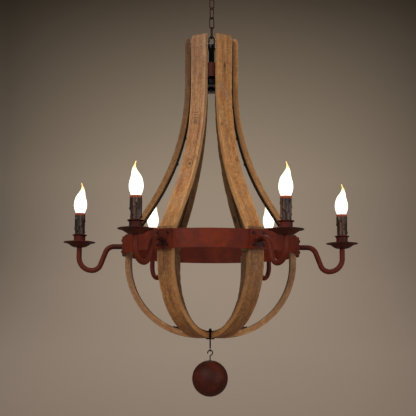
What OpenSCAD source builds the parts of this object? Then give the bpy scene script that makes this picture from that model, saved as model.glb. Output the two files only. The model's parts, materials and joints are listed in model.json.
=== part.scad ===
// Rustic candle chandelier: six barrel staves flare from an iron hub to an iron band, six more
// close the cage below it, and six scrolled iron arms carry candle lights. A wooden ball hangs
// from the bottom and a short chain holds the whole under its ceiling plate.
// Millimetres, +Z up. The origin lies on the ceiling, in the middle of the fixing bracket.

/* [Ceiling plate] */
// Diameter of the spun ceiling plate
canopy_d = 124; // [112:2:160]
// Depth of the ceiling plate
canopy_h = 26; // [20:1:40]
// Sheet thickness of the ceiling plate
canopy_wall = 1.5; // [1:0.25:2.5]
// Length of the fixing bracket
bracket_len = 104; // [96:1:106]
// Width of the fixing bracket
bracket_w = 22; // [18:1:30]
// Thickness of the fixing bracket
bracket_t = 2.5; // [2:0.5:4]
// Distance between the two ceiling screw holes
screw_spacing = 80; // [60:1:84]
// Diameter of a ceiling screw hole
screw_hole_d = 5.5; // [4:0.5:6.5]
// Wire diameter of the ceiling loop
top_loop_wire = 4.5; // [3.5:0.25:6]
// Outer width of the ceiling loop
top_loop_w = 26.5; // [22:0.5:36]
// Diameter of the collar that holds the ceiling plate up
top_collar_d = 22; // [18:1:30]
// Height of that collar
top_collar_h = 8; // [5:1:14]

/* [Chain] */
// Wire diameter of a chain link
link_wire = 3.4; // [2.5:0.1:4]
// Outer length of a chain link
link_len = 36; // [30:1:50]
// Outer width of a chain link
link_w = 17.5; // [16:0.5:24]
// Air left between two linked wires
link_play = 0.3; // [0.2:0.05:0.8]

/* [Hub] */
// Wire diameter of the hanging loop
loop_wire = 4.7; // [3.5:0.1:6]
// Outer width of the hanging loop
loop_w = 20; // [18:0.5:20.5]
// Height of the hanging loop above its collar
loop_h = 26; // [20:1:40]
// Diameter of the collar under the loop
collar_d = 21; // [21:0.5:28]
// Height of that collar
collar_h = 11; // [7:1:18]
// Diameter of the threaded shank through the hub
shank_d = 10; // [8:0.5:12]
// Diameter of the wire passage in the shank
wireway_d = 5.5; // [4:0.5:6]
// Diameter of the black stem
stem_d = 18.5; // [16:0.5:26]
// Height of the black stem
stem_h = 59; // [25:1:64]
// Height of the hexagonal hub drum
drum_h = 39; // [32:1:50]
// Wall thickness of the hub drum
drum_wall = 3; // [2:0.5:5]
// Height of the hub drum's lower edge above the middle of the band
drum_z = 460; // [460:5:480]
// Diameter of the black cover under the drum
cover_d = 100; // [84:2:104]
// Depth of that cover
cover_h = 19; // [16:1:26]
// Sheet thickness of that cover
cover_wall = 1.5; // [1:0.25:2.5]

/* [Staves] */
// Thickness of a stave
stave_t = 16; // [12:0.5:19]
// Width of an upper stave at its top
stave_top_w = 46; // [38:1:56]
// Width of a stave at the band
stave_ring_w = 45; // [40:1:56]
// Width of a lower stave at the bottom hub
stave_foot_w = 44; // [36:1:50]
// Radius of an upper stave's outer face at its top
stave_top_r = 74; // [68:1:90]
// Height of the stave tops above the middle of the band
stave_top_z = 580; // [560:5:640]
// Height at which the upper staves start to flare
flare_z = 440; // [425:5:440]
// Radius of the flare on the outer face
flare_r = 600; // [500:10:680]
// Depth of the bevel on the stave's top end
chime_depth = 6; // [4:0.5:12]
// Length of that bevel
chime_len = 13; // [8:1:30]
// Radius of a lower stave's outer face
belly_r = 200; // [180:5:215]
// Distance from the middle of the band down to the cage's underside
cage_drop = 244; // [230:2:280]
// Height of the lower staves above the band's upper edge
stave_lip = 8; // [4:1:14]
// Thickness of a lower stave's top, where the foot of the upper stave is lapped into its back
lap_t = 7; // [5:0.5:8]

/* [Band] */
// Outer diameter of the iron band
ring_d = 470; // [440:5:520]
// Height of the iron band
ring_h = 48; // [46:1:60]
// Thickness of the iron band
ring_t = 4; // [2:0.5:6]

/* [Arms] */
// Distance of the candles from the chandelier's axis
candle_r = 356; // [345:1:400]
// Outer diameter of an arm's tube
arm_d = 14; // [12:0.5:18]
// Bore of an arm's tube
arm_bore = 10; // [8:0.5:11]
// Depth of the arm's lowest bend below its root
arm_drop = 65; // [55:1:80]
// Radius of the two inner bends
arm_bend_r = 24; // [18:1:26]
// Radius of the bend under the candle
cup_bend_r = 36; // [32:1:44]
// Steepness of the falling stretch
arm_fall = 69; // [60:1:80]
// Side of the square wall plate of an arm
plate_size = 50; // [46:1:56]
// Thickness of the wall plate
plate_t = 3.5; // [2:0.5:6]
// Distance between the plate's bolts
bolt_spacing = 30; // [28:1:34]
// Shank diameter of a plate bolt
bolt_d = 5; // [4:0.5:6]
// Head diameter of a plate bolt
bolt_head_d = 8.5; // [7:0.5:11]
// Head height of a plate bolt
bolt_head_h = 2.8; // [2:0.2:4]

/* [Candles] */
// Diameter of a drip pan
pan_d = 86; // [70:1:110]
// Depth of a drip pan
pan_depth = 14; // [10:1:20]
// Sheet thickness of a drip pan
pan_wall = 1.6; // [1:0.1:2.5]
// Outer diameter of a candle cup
cup_d = 31; // [30:0.5:38]
// Height of a candle cup
cup_h = 32.5; // [20:0.5:40]
// Diameter of the flange round the cup's mouth
cup_flange_d = 40; // [36:1:50]
// Outer diameter of a candle sleeve
sleeve_d = 26; // [25:0.2:27]
// Wall thickness of a candle sleeve
sleeve_wall = 1; // [0.6:0.1:1.2]
// Height of a candle sleeve
sleeve_h = 89; // [80:1:110]
// Radius of a wax run on the sleeve
drip_r = 2.6; // [2:0.1:3]
// Outer diameter of a lampholder
holder_d = 21.6; // [20:0.2:22]
// Bore of a lampholder for the bulb's cap
socket_d = 14.6; // [14.4:0.1:15]
// Largest diameter of a bulb
bulb_d = 35; // [32:1:38]
// Height of a bulb's glass
bulb_h = 98; // [90:1:110]
// Diameter of a bulb's screw cap
cap_d = 13.8; // [13.4:0.1:14]
// Length of a bulb's screw cap
cap_len = 25; // [20:1:27]
// Sideways curl of the flame tip
tip_curl = 5; // [0:0.5:7]

/* [Bottom ball] */
// Diameter of the wooden ball
ball_d = 95; // [70:1:120]
// Distance from the middle of the band down to the ball's top
ball_top = 302; // [298:1:340]
// Wire diameter of the ball's screw hook
hook_wire = 3; // [2.4:0.1:3.2]
// Outer width of the screw hook
hook_w = 16.2; // [15:0.2:20]
// Depth of the hook's screw in the ball
hook_screw = 20; // [12:1:30]
// Wire diameter of the eye rod's eye
eye_wire = 2.6; // [2:0.1:3]
// Outer width of the eye
eye_w = 11.6; // [11.4:0.2:15]
// Diameter of the eye rod
rod_d = 4; // [3:0.5:6]
// Distance across the flats of the bottom hub
foot_hub_af = 80; // [78:1:96]
// Thickness of the bottom hub
foot_hub_t = 18; // [16:1:19]
// Diameter of the washer under the bottom hub
washer_d = 22; // [16:1:44]
// Thickness of that washer
washer_t = 3; // [2:0.5:4]

/* [Leads] */
// Diameter of a lead to a candle
lead_d = 4; // [3:0.5:4.5]
// Bend radius of a lead
lead_bend_r = 8; // [7:0.5:8]
// Diameter of the holes that the leads pass
lead_hole_d = 9; // [8:0.5:10]

/* [Hidden] */
spokes = 6;
links = 4;
link_turns = [35, -49, 35, 105];
ceiling_loop_turn = -55;
$fn = 64;

// Colours
rust = [0.42, 0.17, 0.12];
dark_rust = [0.24, 0.10, 0.07];
black_iron = [0.08, 0.07, 0.07];
old_oak = [0.62, 0.45, 0.29];
worn_oak = [0.48, 0.33, 0.20];
wax_brown = [0.17, 0.12, 0.11];
opal = [0.97, 0.95, 0.90];
porcelain = [0.85, 0.84, 0.80];
lead_black = [0.03, 0.03, 0.03];

// Slanted stretches of a bent tube or lead are let into the bends at their ends by this much,
// and drawn thinner by the trim
let_in = 0.05;
trim = 0.04;

// Clearances
seat_gap = 0.3;
hole_gap = 0.2;
thread_gap = 0.1;
flat_gap = 0.05;

// Levels of the ceiling fitting and the chain, measured from the ceiling
top_loop_r = (top_loop_w - top_loop_wire) / 2;
top_collar_z = -canopy_h - top_collar_h;
top_loop_z = top_collar_z - top_loop_r;
chain_top_z = top_loop_z - top_loop_r;
link_span = link_len - link_wire;
link_r = (link_w - link_wire) / 2;
link_pitch = link_span - link_wire - link_play;
first_link_z = chain_top_z + (top_loop_wire + link_wire) / 2 + link_play;
function link_top(k) = first_link_z - (k - 1) * link_pitch;
function link_foot(k) = link_top(k) - link_span;

// Levels of the hub, measured from the middle of the band
drum_top = drum_z + drum_h;
stem_top = drum_top + stem_h;
collar_top = stem_top + collar_h;
loop_top = collar_top + loop_h;
loop_r = (loop_w - loop_wire) / 2;
nut_h = 6;
nut_af = 17;
cover_z = drum_z - cover_h;
shank_foot = cover_z - nut_h + 1;

// The band's middle hangs where the hanging loop meets the last link
ring_z = link_foot(links) + link_wire / 2 + loop_wire + link_play - loop_top;

// Staves
ring_r = ring_d / 2;
ring_in = ring_r - ring_t;
lower_out = sqrt(pow(ring_in, 2) - pow(stave_ring_w / 2, 2)) - seat_gap;
lower_in = lower_out - stave_t;
belly_c = lower_out - belly_r;
belly_z = belly_r - cage_drop;
lower_top = ring_h / 2 + stave_lip;
upper_in = stave_top_r - stave_t;
flare_c = stave_top_r + flare_r;
foot_out = lower_out - lap_t;
foot_top = lower_top;
flare_h = flare_z - foot_top;
flare_reach = flare_r - (foot_out - stave_top_r);
// Slope at which the straight foot of an upper stave just meets the thinned top of the lower stave
flare = atan2(flare_h, flare_reach) - acos(flare_r / sqrt(pow(flare_h, 2) + pow(flare_reach, 2)));
foot_tip = 4;
foot_end = foot_top - (stave_t / cos(flare) - foot_tip) / tan(flare);
lap_z = -6;
foot_apothem = foot_hub_af / 2;
foot_gap = 0.2;

// Wood screws of the staves: heights on the drum, and distances along the belly's arc on a tongue
screw_d = 4;
screw_len = 14;
screw_head_d = 8;
screw_head_h = 2.4;
drum_screw_gap = 20;
drum_screw_z = drum_z + drum_h / 2 - 2;
tongue_screws = [47, 65];

// Arms: the route of the tube's centre line in the plane of one spoke
plate_in = ring_r + hole_gap;
plate_out = plate_in + plate_t;
bolt_turn = asin(bolt_spacing / 2 / ring_r);
bend_run = arm_bend_r * sin(arm_fall);
bend_fall = arm_bend_r * (1 - cos(arm_fall));
fall_run = (arm_drop - 2 * bend_fall) / tan(arm_fall);
low_x = candle_r - cup_bend_r;
root_end = round(100 * (low_x - 2 * bend_run - fall_run)) / 100;
fall_top = [root_end + bend_run, -bend_fall];
fall_foot = [low_x - bend_run, -arm_drop + bend_fall];
pan_seat = -2;
shoulder_z = pan_seat - 4;
spigot_d = arm_bore;
spigot_bore = 7;
spigot_top = 14;

// Candles
cup_floor = pan_seat + pan_wall;
cup_floor_t = 2;
cup_flange_t = 2;
sleeve_z = cup_floor + cup_floor_t + flat_gap;
sleeve_top = sleeve_z + sleeve_h;
drips = 9;
neck_len = 14;
bulb_z = sleeve_top - neck_len;
holder_top = bulb_z - seat_gap;
socket_floor = holder_top - cap_len;
bulb_sides = 16;
bulb_rings = 18;
belly_at = 0.37;
cap_contact_h = 3;
// The way each flame's tip curls, seen from above
tip_turns = [0, 40, 200, 0, 180, 0];

// Bottom ball, measured from the middle of the band
hook_r = (hook_w - hook_wire) / 2;
hook_shank = 13;
hook_c = -ball_top + hook_shank + hook_r;
eye_foot = hook_c + hook_r - (hook_wire + eye_wire) / 2 - link_play;
eye_r = (eye_w - eye_wire) / 2;
eye_c = eye_foot + eye_r;
foot_hub_top = -cage_drop + foot_hub_t;
top_washer_t = 1.5;
cap_nut_h = 6;
tongue_t = 3;
tongue_w = 30;
tongue_reach = 22;
top_washer_d = 14;

// Leads
lead_x = upper_in - seat_gap - lead_d / 2;
lead_z = drum_z - 8;
lead_start = 38;
lead_arc_r = flare_r + stave_t + seat_gap + lead_d / 2;
lead_arc_end = [flare_c - lead_arc_r * cos(flare), flare_z - lead_arc_r * sin(flare)];
lead_fall = lead_arc_end[1] - lead_bend_r * (1 - sin(flare));
lead_turn_x = round(100 * (lead_arc_end[0] + lead_fall * tan(flare) + lead_bend_r * cos(flare))) / 100;
lead_turn = [lead_turn_x - lead_bend_r * cos(flare), lead_bend_r * (1 - sin(flare))];
lead_end = spigot_top + 10;
clip_turns = [6, 13, 20];
clip_w = 12;
clip_len = 6;
clip_h = lead_d + 2 * seat_gap + 0.9;

// Placing

module at_band() { translate([0, 0, ring_z]) children(); }

// Turns one spoke's plane, where X runs outward, to its place round the axis
module spoke(i) { rotate([0, 0, 360 / spokes * (i - 1)]) at_band() children(); }

module at_candle(i) { spoke(i) translate([candle_r, 0, 0]) children(); }

// The four bolt axes of a wall plate, with Z pointing outward and the band's axis at z = 0
module bolt_axes(rows = [-1, 1]) {
    for (side = [-1, 1], row = rows)
        rotate([0, 0, side * bolt_turn]) translate([0, 0, row * bolt_spacing / 2]) rotate([0, 90, 0]) children();
}

// Shared shapes

// Straight stretch of a tube or solid rod between two points of the spoke's plane
module run(from, to, d, bore = 0) {
    step = to - from;
    translate([from[0], 0, from[1]]) rotate([0, atan2(step[0], step[1]), 0])
        linear_extrude(norm(step)) section(d, bore);
}

// The same for a slanted stretch, let into the bend at each end
module slanted_run(from, to, d, bore = 0) {
    along = let_in * (to - from) / norm(to - from);
    run(from - along, to + along, d - trim, bore > 0 ? bore + trim : 0);
}

// Round bend in the spoke's plane, from angle a over the given sweep, clockwise if negative
module bend(centre, r, a, sweep, d, bore = 0) {
    way = sign(sweep);
    translate([centre[0], 0, centre[1]]) rotate([way * 90, 0, 0]) rotate([0, 0, way * a])
        rotate_extrude(angle = abs(sweep), $fn = 96) translate([r, 0]) section(d, bore);
}

module section(d, bore) {
    difference() {
        circle(d = d, $fn = 32);
        if (bore > 0) circle(d = bore, $fn = 32);
    }
}

// The bends of an arm from the end of its root to the foot of its candle
module arm_route(d, bore = 0) {
    bend([root_end, -arm_bend_r], arm_bend_r, 90, -arm_fall, d, bore);
    slanted_run(fall_top, fall_foot, d, bore);
    bend([low_x, arm_bend_r - arm_drop], arm_bend_r, -90, -arm_fall, d, bore);
    bend([low_x, cup_bend_r - arm_drop], cup_bend_r, -90, 90, d, bore);
}

// Oval link of round wire that hangs from z = 0, its upper wire's centre, in the XZ plane
module oval_link(wire, r, span) {
    straight = span - 2 * r;
    for (side = [-1, 1]) translate([side * r, 0, -r - straight]) cylinder(d = wire, h = straight);
    bend([0, -r], r, 0, 180, wire);
    bend([0, -r - straight], r, 180, 180, wire);
}

// Dome-headed screw along Z: its head stands on z = 0 and its shank goes down
module dome_screw(d, len, head_d, head_h) {
    dome_r = (pow(head_d / 2, 2) + pow(head_h, 2)) / (2 * head_h);
    intersection() {
        translate([0, 0, head_h - dome_r]) sphere(r = dome_r);
        cylinder(d = head_d, h = head_h);
    }
    translate([0, 0, -len]) cylinder(d = d, h = len + head_h / 4);
}

module hex_nut(af, h, bore) {
    difference() {
        cylinder(d = af / cos(30), h = h, $fn = 6);
        translate([0, 0, -1]) cylinder(d = bore, h = h + 2);
    }
}

// Ceiling fitting

module ceiling_plate() {
    steps = 8;
    lip = 4;
    flat_r = 24;
    rim_r = canopy_d / 2;
    function dome(k, inset) = [
        flat_r + (rim_r - inset - flat_r) * sin(90 * k / steps),
        -lip - (canopy_h - lip - inset) * cos(90 * k / steps)];
    color(dark_rust) rotate_extrude(convexity = 4) polygon(concat(
        [[rim_r - canopy_wall, 0], [rim_r, 0]],
        [for (k = [steps:-1:0]) dome(k, 0)],
        [[shank_d / 2 + hole_gap, -canopy_h], [shank_d / 2 + hole_gap, -canopy_h + canopy_wall]],
        [for (k = [0:steps]) dome(k, canopy_wall)]));
}

module ceiling_bracket() {
    end_r = bracket_w / 2;
    color(black_iron) translate([0, 0, -bracket_t]) linear_extrude(bracket_t) difference() {
        union() {
            square([bracket_len - bracket_w, bracket_w], center = true);
            for (side = [-1, 1]) translate([side * (bracket_len / 2 - end_r), 0]) circle(r = end_r);
        }
        for (side = [-1, 1]) translate([side * screw_spacing / 2, 0]) circle(d = screw_hole_d);
        circle(d = shank_d + 2 * thread_gap);
    }
}

// Loop, collar and the shank that screws up into the bracket
module ceiling_loop() {
    color(dark_rust) {
        rotate([0, 0, ceiling_loop_turn]) bend([0, top_loop_z], top_loop_r, 0, 360, top_loop_wire);
        translate([0, 0, top_collar_z]) cylinder(d = top_collar_d, h = top_collar_h - flat_gap);
        translate([0, 0, top_collar_z]) cylinder(d = shank_d, h = -top_collar_z - 0.5);
    }
}

// Chain

// The links are turned to each other as a slack chain twists
module chain_link(k) {
    color(dark_rust) translate([0, 0, link_top(k)]) rotate([0, 0, link_turns[k - 1]])
        oval_link(link_wire, link_r, link_span);
}

// Hub

// Arched loop on its collar, with the hollow threaded shank that ties the hub together
module hanging_loop() {
    arch_z = loop_top - loop_wire / 2 - loop_r;
    leg_foot = collar_top - 2;
    color(black_iron) at_band() difference() {
        union() {
            bend([0, arch_z], loop_r, 0, 180, loop_wire);
            for (side = [-1, 1]) translate([side * loop_r, 0, leg_foot]) cylinder(d = loop_wire, h = arch_z - leg_foot);
            translate([0, 0, stem_top + flat_gap]) cylinder(d = collar_d, h = collar_h - flat_gap);
            translate([0, 0, shank_foot]) cylinder(d = shank_d, h = stem_top - shank_foot + 1);
        }
        translate([0, 0, shank_foot - 1]) cylinder(d = wireway_d, h = collar_top - shank_foot + 2);
    }
}

// Turned spacer with a bead near each end
module hub_stem() {
    bead_h = 5;
    neck_r = stem_d / 2 - 1.2;
    color(black_iron) at_band() translate([0, 0, drum_top + flat_gap]) difference() {
        union() {
            cylinder(r = neck_r, h = stem_h - flat_gap);
            for (z = [0, stem_h - flat_gap - bead_h]) translate([0, 0, z]) cylinder(d = stem_d, h = bead_h);
        }
        translate([0, 0, -1]) cylinder(d = shank_d + 2 * hole_gap, h = stem_h + 2);
    }
}

// Hexagonal drum: the back of an upper stave lies on each of its flats
module hub_drum() {
    flat_r = upper_in - flat_gap;
    color(rust) at_band() difference() {
        translate([0, 0, drum_z]) rotate([0, 0, 30]) cylinder(r = flat_r / cos(30), h = drum_h, $fn = 6);
        translate([0, 0, drum_z - 1]) rotate([0, 0, 30])
            cylinder(r = (flat_r - drum_wall) / cos(30), h = drum_h - drum_wall + 1, $fn = 6);
        translate([0, 0, drum_z]) cylinder(d = shank_d + 2 * hole_gap, h = drum_h + 1);
        for (i = [1:spokes]) rotate([0, 0, 360 / spokes * (i - 1)]) drum_screw_axes()
            translate([0, 0, -drum_wall - 2]) cylinder(d = screw_d + 2 * hole_gap, h = drum_wall + 4);
    }
}

// Axes of the two screws that hold one stave to the drum, Z pointing inward on the wall's inside
module drum_screw_axes() {
    for (row = [-1, 1])
        translate([upper_in - flat_gap - drum_wall, 0, drum_screw_z + row * drum_screw_gap / 2])
            rotate([0, -90, 0]) children();
}

// Axes of the screws that hold one lower stave under its tongue, Z pointing into the cage
module tongue_screw_axes() {
    tongue_in = belly_r - stave_t - tongue_t - flat_gap - seat_gap / 2;
    for (along = tongue_screws)
        translate([belly_c, 0, belly_z]) rotate([0, 180 - along / belly_r * 180 / PI, 0])
            translate([0, 0, tongue_in]) rotate([180, 0, 0]) children();
}

module hub_cover() {
    r = cover_d / 2;
    edge = 6;
    steps = 4;
    function corner(k, inset) = [
        r - edge + (edge - inset) * cos(90 * k / steps), cover_z + edge - (edge - inset) * sin(90 * k / steps)];
    color(black_iron) at_band() difference() {
        rotate_extrude() polygon(concat(
            [[r - cover_wall, drum_z - flat_gap], [r + 4, drum_z - flat_gap], [r + 4, drum_z - cover_wall],
                [r, drum_z - cover_wall]],
            [for (k = [0:steps]) corner(k, 0)],
            [[shank_d / 2 + hole_gap, cover_z], [shank_d / 2 + hole_gap, cover_z + cover_wall]],
            [for (k = [steps:-1:0]) corner(k, cover_wall)]));
        for (i = [1:spokes]) rotate([0, 0, 360 / spokes * (i - 1)]) translate([r - 6, 0, lead_z])
            rotate([0, 90, 0]) cylinder(d = lead_d + 2, h = 12);
    }
}

// Nut inside the drum and nut under the cover
module hub_nuts() {
    color(black_iron) at_band() for (z = [drum_top - drum_wall - nut_h - flat_gap, cover_z - nut_h - flat_gap])
        translate([0, 0, z]) hex_nut(nut_af, nut_h, shank_d + 2 * thread_gap);
}

module wood_screws() {
    color(dark_rust) for (i = [1:spokes]) spoke(i) {
        drum_screw_axes() dome_screw(screw_d, screw_len, screw_head_d, screw_head_h);
        tongue_screw_axes() dome_screw(screw_d, screw_len, screw_head_d, screw_head_h);
    }
}

// Staves

// Side view of an upper stave: straight at the hub, flaring, then straight to its bevelled foot
module upper_stave_side() {
    across = [cos(flare), sin(flare)];
    back = [-sin(flare), cos(flare)];
    out_end = [flare_c, flare_z] - (flare_r + trim / 2) * across + back;
    in_end = [flare_c, flare_z] - (flare_r + stave_t - trim / 2) * across + back;
    far = 2 * flare_r;
    difference() {
        translate([upper_in, flare_z]) square([stave_t, stave_top_z - flare_z]);
        polygon([[stave_top_r - chime_depth, stave_top_z + 1], [stave_top_r + 1, stave_top_z + 1],
            [stave_top_r + 1, stave_top_z - chime_len], [stave_top_r, stave_top_z - chime_len],
            [stave_top_r - chime_depth, stave_top_z]]);
    }
    translate([upper_in + trim / 2, flare_z - let_in]) square([stave_t - trim, 2 * let_in]);
    intersection() {
        translate([flare_c, flare_z]) difference() {
            circle(r = flare_r + stave_t, $fn = 360);
            circle(r = flare_r, $fn = 360);
        }
        polygon([[flare_c, flare_z], [flare_c - far, flare_z],
            [flare_c - far * cos(flare), flare_z - far * sin(flare)]]);
    }
    polygon([in_end, [foot_out - foot_tip, foot_end], [foot_out, foot_end], [foot_out, foot_top - trim], out_end]);
}

module upper_stave(i) {
    color(old_oak) spoke(i) difference() {
        intersection() {
            rotate([90, 0, 0]) linear_extrude(2 * stave_top_w, center = true) upper_stave_side();
            rotate([90, 0, 90]) linear_extrude(ring_r) polygon([
                [-stave_ring_w / 2, foot_end - 1], [stave_ring_w / 2, foot_end - 1],
                [stave_top_w / 2, stave_top_z + 1], [-stave_top_w / 2, stave_top_z + 1]]);
        }
        drum_screw_axes() translate([0, 0, -screw_len - 0.5]) cylinder(d = screw_d + 2 * thread_gap, h = screw_len);
        bolt_axes([1]) translate([0, 0, lower_in - 5]) cylinder(d = bolt_d + 2 * thread_gap, h = stave_t);
    }
}

// Side view of a lower stave: straight behind the band, thinned at its top for the upper stave's
// foot, then a quarter turn in to the bottom hub
module lower_stave_side() {
    translate([lower_in, belly_z]) square([stave_t, lap_z - belly_z]);
    translate([foot_out, lap_z - 1]) square([lap_t, lower_top - lap_z + 1]);
    intersection() {
        translate([belly_c, belly_z]) difference() {
            circle(r = belly_r, $fn = 240);
            circle(r = belly_r - stave_t, $fn = 240);
        }
        polygon([[foot_apothem + foot_gap, belly_z], [foot_apothem + foot_gap, -cage_drop - 10],
            [ring_r, -cage_drop - 10], [ring_r, belly_z]]);
    }
}

module lower_stave(i) {
    color(worn_oak) spoke(i) difference() {
        intersection() {
            rotate([90, 0, 0]) linear_extrude(2 * stave_ring_w, center = true) lower_stave_side();
            translate([0, 0, -cage_drop - 10]) linear_extrude(cage_drop + ring_h + 30) polygon([
                [foot_apothem, -stave_foot_w / 2], [lower_in, -stave_ring_w / 2], [ring_r, -stave_ring_w / 2],
                [ring_r, stave_ring_w / 2], [lower_in, stave_ring_w / 2], [foot_apothem, stave_foot_w / 2]]);
        }
        bolt_axes([1]) translate([0, 0, lower_in]) cylinder(d = bolt_d + 2 * thread_gap, h = stave_t + 5);
        bolt_axes([-1]) translate([0, 0, lower_in + 1.5]) cylinder(d = bolt_d + 2 * thread_gap, h = stave_t + 10);
        translate([lower_in - 5, 0, 0]) rotate([0, 90, 0]) cylinder(d = lead_hole_d, h = stave_t + 10);
        tongue_screw_axes() translate([0, 0, -screw_len - 0.5]) cylinder(d = screw_d + 2 * thread_gap, h = screw_len);
    }
}

// Band and arms

module iron_band() {
    color(rust) at_band() difference() {
        translate([0, 0, -ring_h / 2]) cylinder(r = ring_r, h = ring_h, $fn = 180);
        translate([0, 0, -ring_h / 2 - 1]) cylinder(r = ring_in, h = ring_h + 2, $fn = 180);
        for (i = [1:spokes]) rotate([0, 0, 360 / spokes * (i - 1)]) {
            bolt_axes() translate([0, 0, ring_in - 5]) cylinder(d = bolt_d + 2 * hole_gap, h = ring_t + 10);
            translate([ring_in - 5, 0, 0]) rotate([0, 90, 0]) cylinder(d = lead_hole_d, h = ring_t + 10);
        }
    }
}

// Wall plate curved to the band, with the tube welded to it and a threaded spigot at the far end
module arm(i) {
    weld = 2.5;
    color(rust) spoke(i) {
        difference() {
            union() {
                intersection() {
                    difference() {
                        translate([0, 0, -plate_size / 2]) cylinder(r = plate_out, h = plate_size, $fn = 180);
                        translate([0, 0, -plate_size / 2 - 1]) cylinder(r = plate_in, h = plate_size + 2, $fn = 180);
                    }
                    translate([plate_in - 10, -plate_size / 2, -plate_size / 2]) cube([20, plate_size, plate_size]);
                }
                translate([plate_out - 1, 0, 0]) rotate([0, 90, 0]) cylinder(d = arm_d, h = root_end - plate_out + 1);
                translate([plate_out - 1, 0, 0]) rotate([0, 90, 0])
                    cylinder(d1 = arm_d + 2 * weld, d2 = arm_d, h = weld + 1);
            }
            translate([plate_in - 5, 0, 0]) rotate([0, 90, 0]) cylinder(d = arm_bore, h = root_end - plate_in + 6);
            bolt_axes() translate([0, 0, plate_in - 5]) cylinder(d = bolt_d + 2 * hole_gap, h = plate_t + 10);
        }
        arm_route(arm_d, arm_bore);
        run([candle_r, cup_bend_r - arm_drop], [candle_r, shoulder_z], arm_d, arm_bore);
        run([candle_r, shoulder_z], [candle_r, pan_seat - flat_gap], arm_d, spigot_bore);
        run([candle_r, pan_seat - flat_gap], [candle_r, spigot_top], spigot_d, spigot_bore);
    }
}

// Upper bolts hold the band, the lower stave and the upper stave's foot, lower ones all but the foot
module plate_bolts() {
    color(black_iron) for (i = [1:spokes]) spoke(i) bolt_axes() translate([0, 0, plate_out + flat_gap])
        dome_screw(bolt_d, plate_out - lower_in - 2, bolt_head_d, bolt_head_h);
}

// Candles

// Spun dish: flat in the middle, rising in an S to its flared rim
module drip_pan(i) {
    steps = 10;
    flat_r = cup_d / 2 - 2;
    rim_r = pan_d / 2;
    rise = pan_depth - pan_wall;
    function dish(k, lift) = [
        flat_r + (rim_r - flat_r) * k / steps, pan_seat + lift + rise * (1 - cos(180 * pow(k / steps, 0.9))) / 2];
    color(dark_rust) at_candle(i) rotate_extrude(convexity = 4) polygon(concat(
        [[spigot_d / 2 + hole_gap, pan_seat]],
        [for (k = [0:steps]) dish(k, 0)],
        [for (k = [steps:-1:0]) dish(k, pan_wall)],
        [[spigot_d / 2 + hole_gap, pan_seat + pan_wall]]));
}

module candle_cups() {
    bore_r = sleeve_d / 2 + seat_gap;
    z = cup_floor + flat_gap;
    top = cup_floor + cup_h;
    foot_r = cup_d / 2 - 3;
    color(dark_rust) for (i = [1:spokes]) at_candle(i) rotate_extrude(convexity = 4) polygon([
        [spigot_d / 2 + hole_gap, z], [foot_r, z], [cup_d / 2, z + 5], [cup_d / 2, top - cup_flange_t],
        [cup_flange_d / 2, top - cup_flange_t], [cup_flange_d / 2, top], [bore_r, top],
        [bore_r, sleeve_z - flat_gap], [spigot_d / 2 + hole_gap, sleeve_z - flat_gap]]);
}

// Tube dressed as a burnt candle: runs of wax of unlike lengths down its outside and a soft lip
module candle_sleeve(i) {
    r = sleeve_d / 2;
    lip_r = 1.2;
    clear_of_cup = cup_floor + cup_h + 1.5;
    longest = sleeve_top - clear_of_cup - drip_r - 2;
    color(wax_brown) at_candle(i) difference() {
        union() {
            translate([0, 0, sleeve_z]) cylinder(r = r, h = sleeve_h);
            translate([0, 0, sleeve_top - lip_r]) rotate_extrude() translate([r, 0]) circle(r = lip_r, $fn = 32);
            for (k = [1:drips]) {
                turn = 360 / drips * k + 14 * sin(151 * k + 70 * i);
                len = longest * (0.58 + 0.42 * sin(137 * k + 60 * i));
                rotate([0, 0, turn]) translate([r - drip_r / 3, 0, sleeve_top - 2 - len]) {
                    cylinder(r = drip_r * 0.8, h = len, $fn = 32);
                    sphere(r = drip_r, $fn = 32);
                }
            }
        }
        translate([0, 0, sleeve_z - 1]) cylinder(r = r - sleeve_wall, h = sleeve_h + 2);
    }
}

module lampholders() {
    foot_z = sleeve_z + 1;
    wiring_r = holder_d / 2 - 2;
    color(porcelain) for (i = [1:spokes]) at_candle(i) difference() {
        translate([0, 0, foot_z]) cylinder(d = holder_d, h = holder_top - foot_z);
        translate([0, 0, foot_z - 1]) cylinder(d = spigot_d + 2 * thread_gap, h = spigot_top - foot_z + 1);
        translate([0, 0, spigot_top]) cylinder(r = wiring_r, h = socket_floor - seat_gap - 4 - spigot_top);
        translate([0, 0, socket_floor - seat_gap]) cylinder(d = socket_d, h = cap_len + 5);
    }
}

// Radius of the glass at a share t of its height: a rounded shoulder, then a drawn-out flame
function glass_r(t) = t < belly_at
    ? cap_d / 2 + 0.6 + (bulb_d / 2 - cap_d / 2 - 0.6) * pow(sin(90 * t / belly_at), 1.6)
    : bulb_d / 2 * max(pow(cos(90 * (t - belly_at) / (1 - belly_at)), 1.6), 0.06);

// Sideways shift of the glass there, which curls the tip
function glass_shift(t) = t < belly_at + 0.2 ? 0
    : tip_curl * pow(sin(150 * (t - belly_at - 0.2) / (0.8 - belly_at)), 2);

module glass_flame() {
    points = [for (k = [0:bulb_rings - 1], s = [0:bulb_sides - 1])
        let (t = k / (bulb_rings - 1), a = 360 / bulb_sides * s)
        [glass_shift(t) + glass_r(t) * cos(a), glass_r(t) * sin(a), bulb_h * t]];
    last = (bulb_rings - 1) * bulb_sides;
    sides = [for (k = [0:bulb_rings - 2], s = [0:bulb_sides - 1], half = [0, 1])
        let (a = k * bulb_sides + s, b = k * bulb_sides + (s + 1) % bulb_sides)
        half == 0 ? [a, a + bulb_sides, b] : [b, a + bulb_sides, b + bulb_sides]];
    floor_fan = [for (s = [1:bulb_sides - 2]) [0, s, s + 1]];
    tip_fan = [for (s = [1:bulb_sides - 2]) [last, last + s + 1, last + s]];
    polyhedron(points = points, faces = concat(sides, floor_fan, tip_fan), convexity = 4);
}

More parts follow.
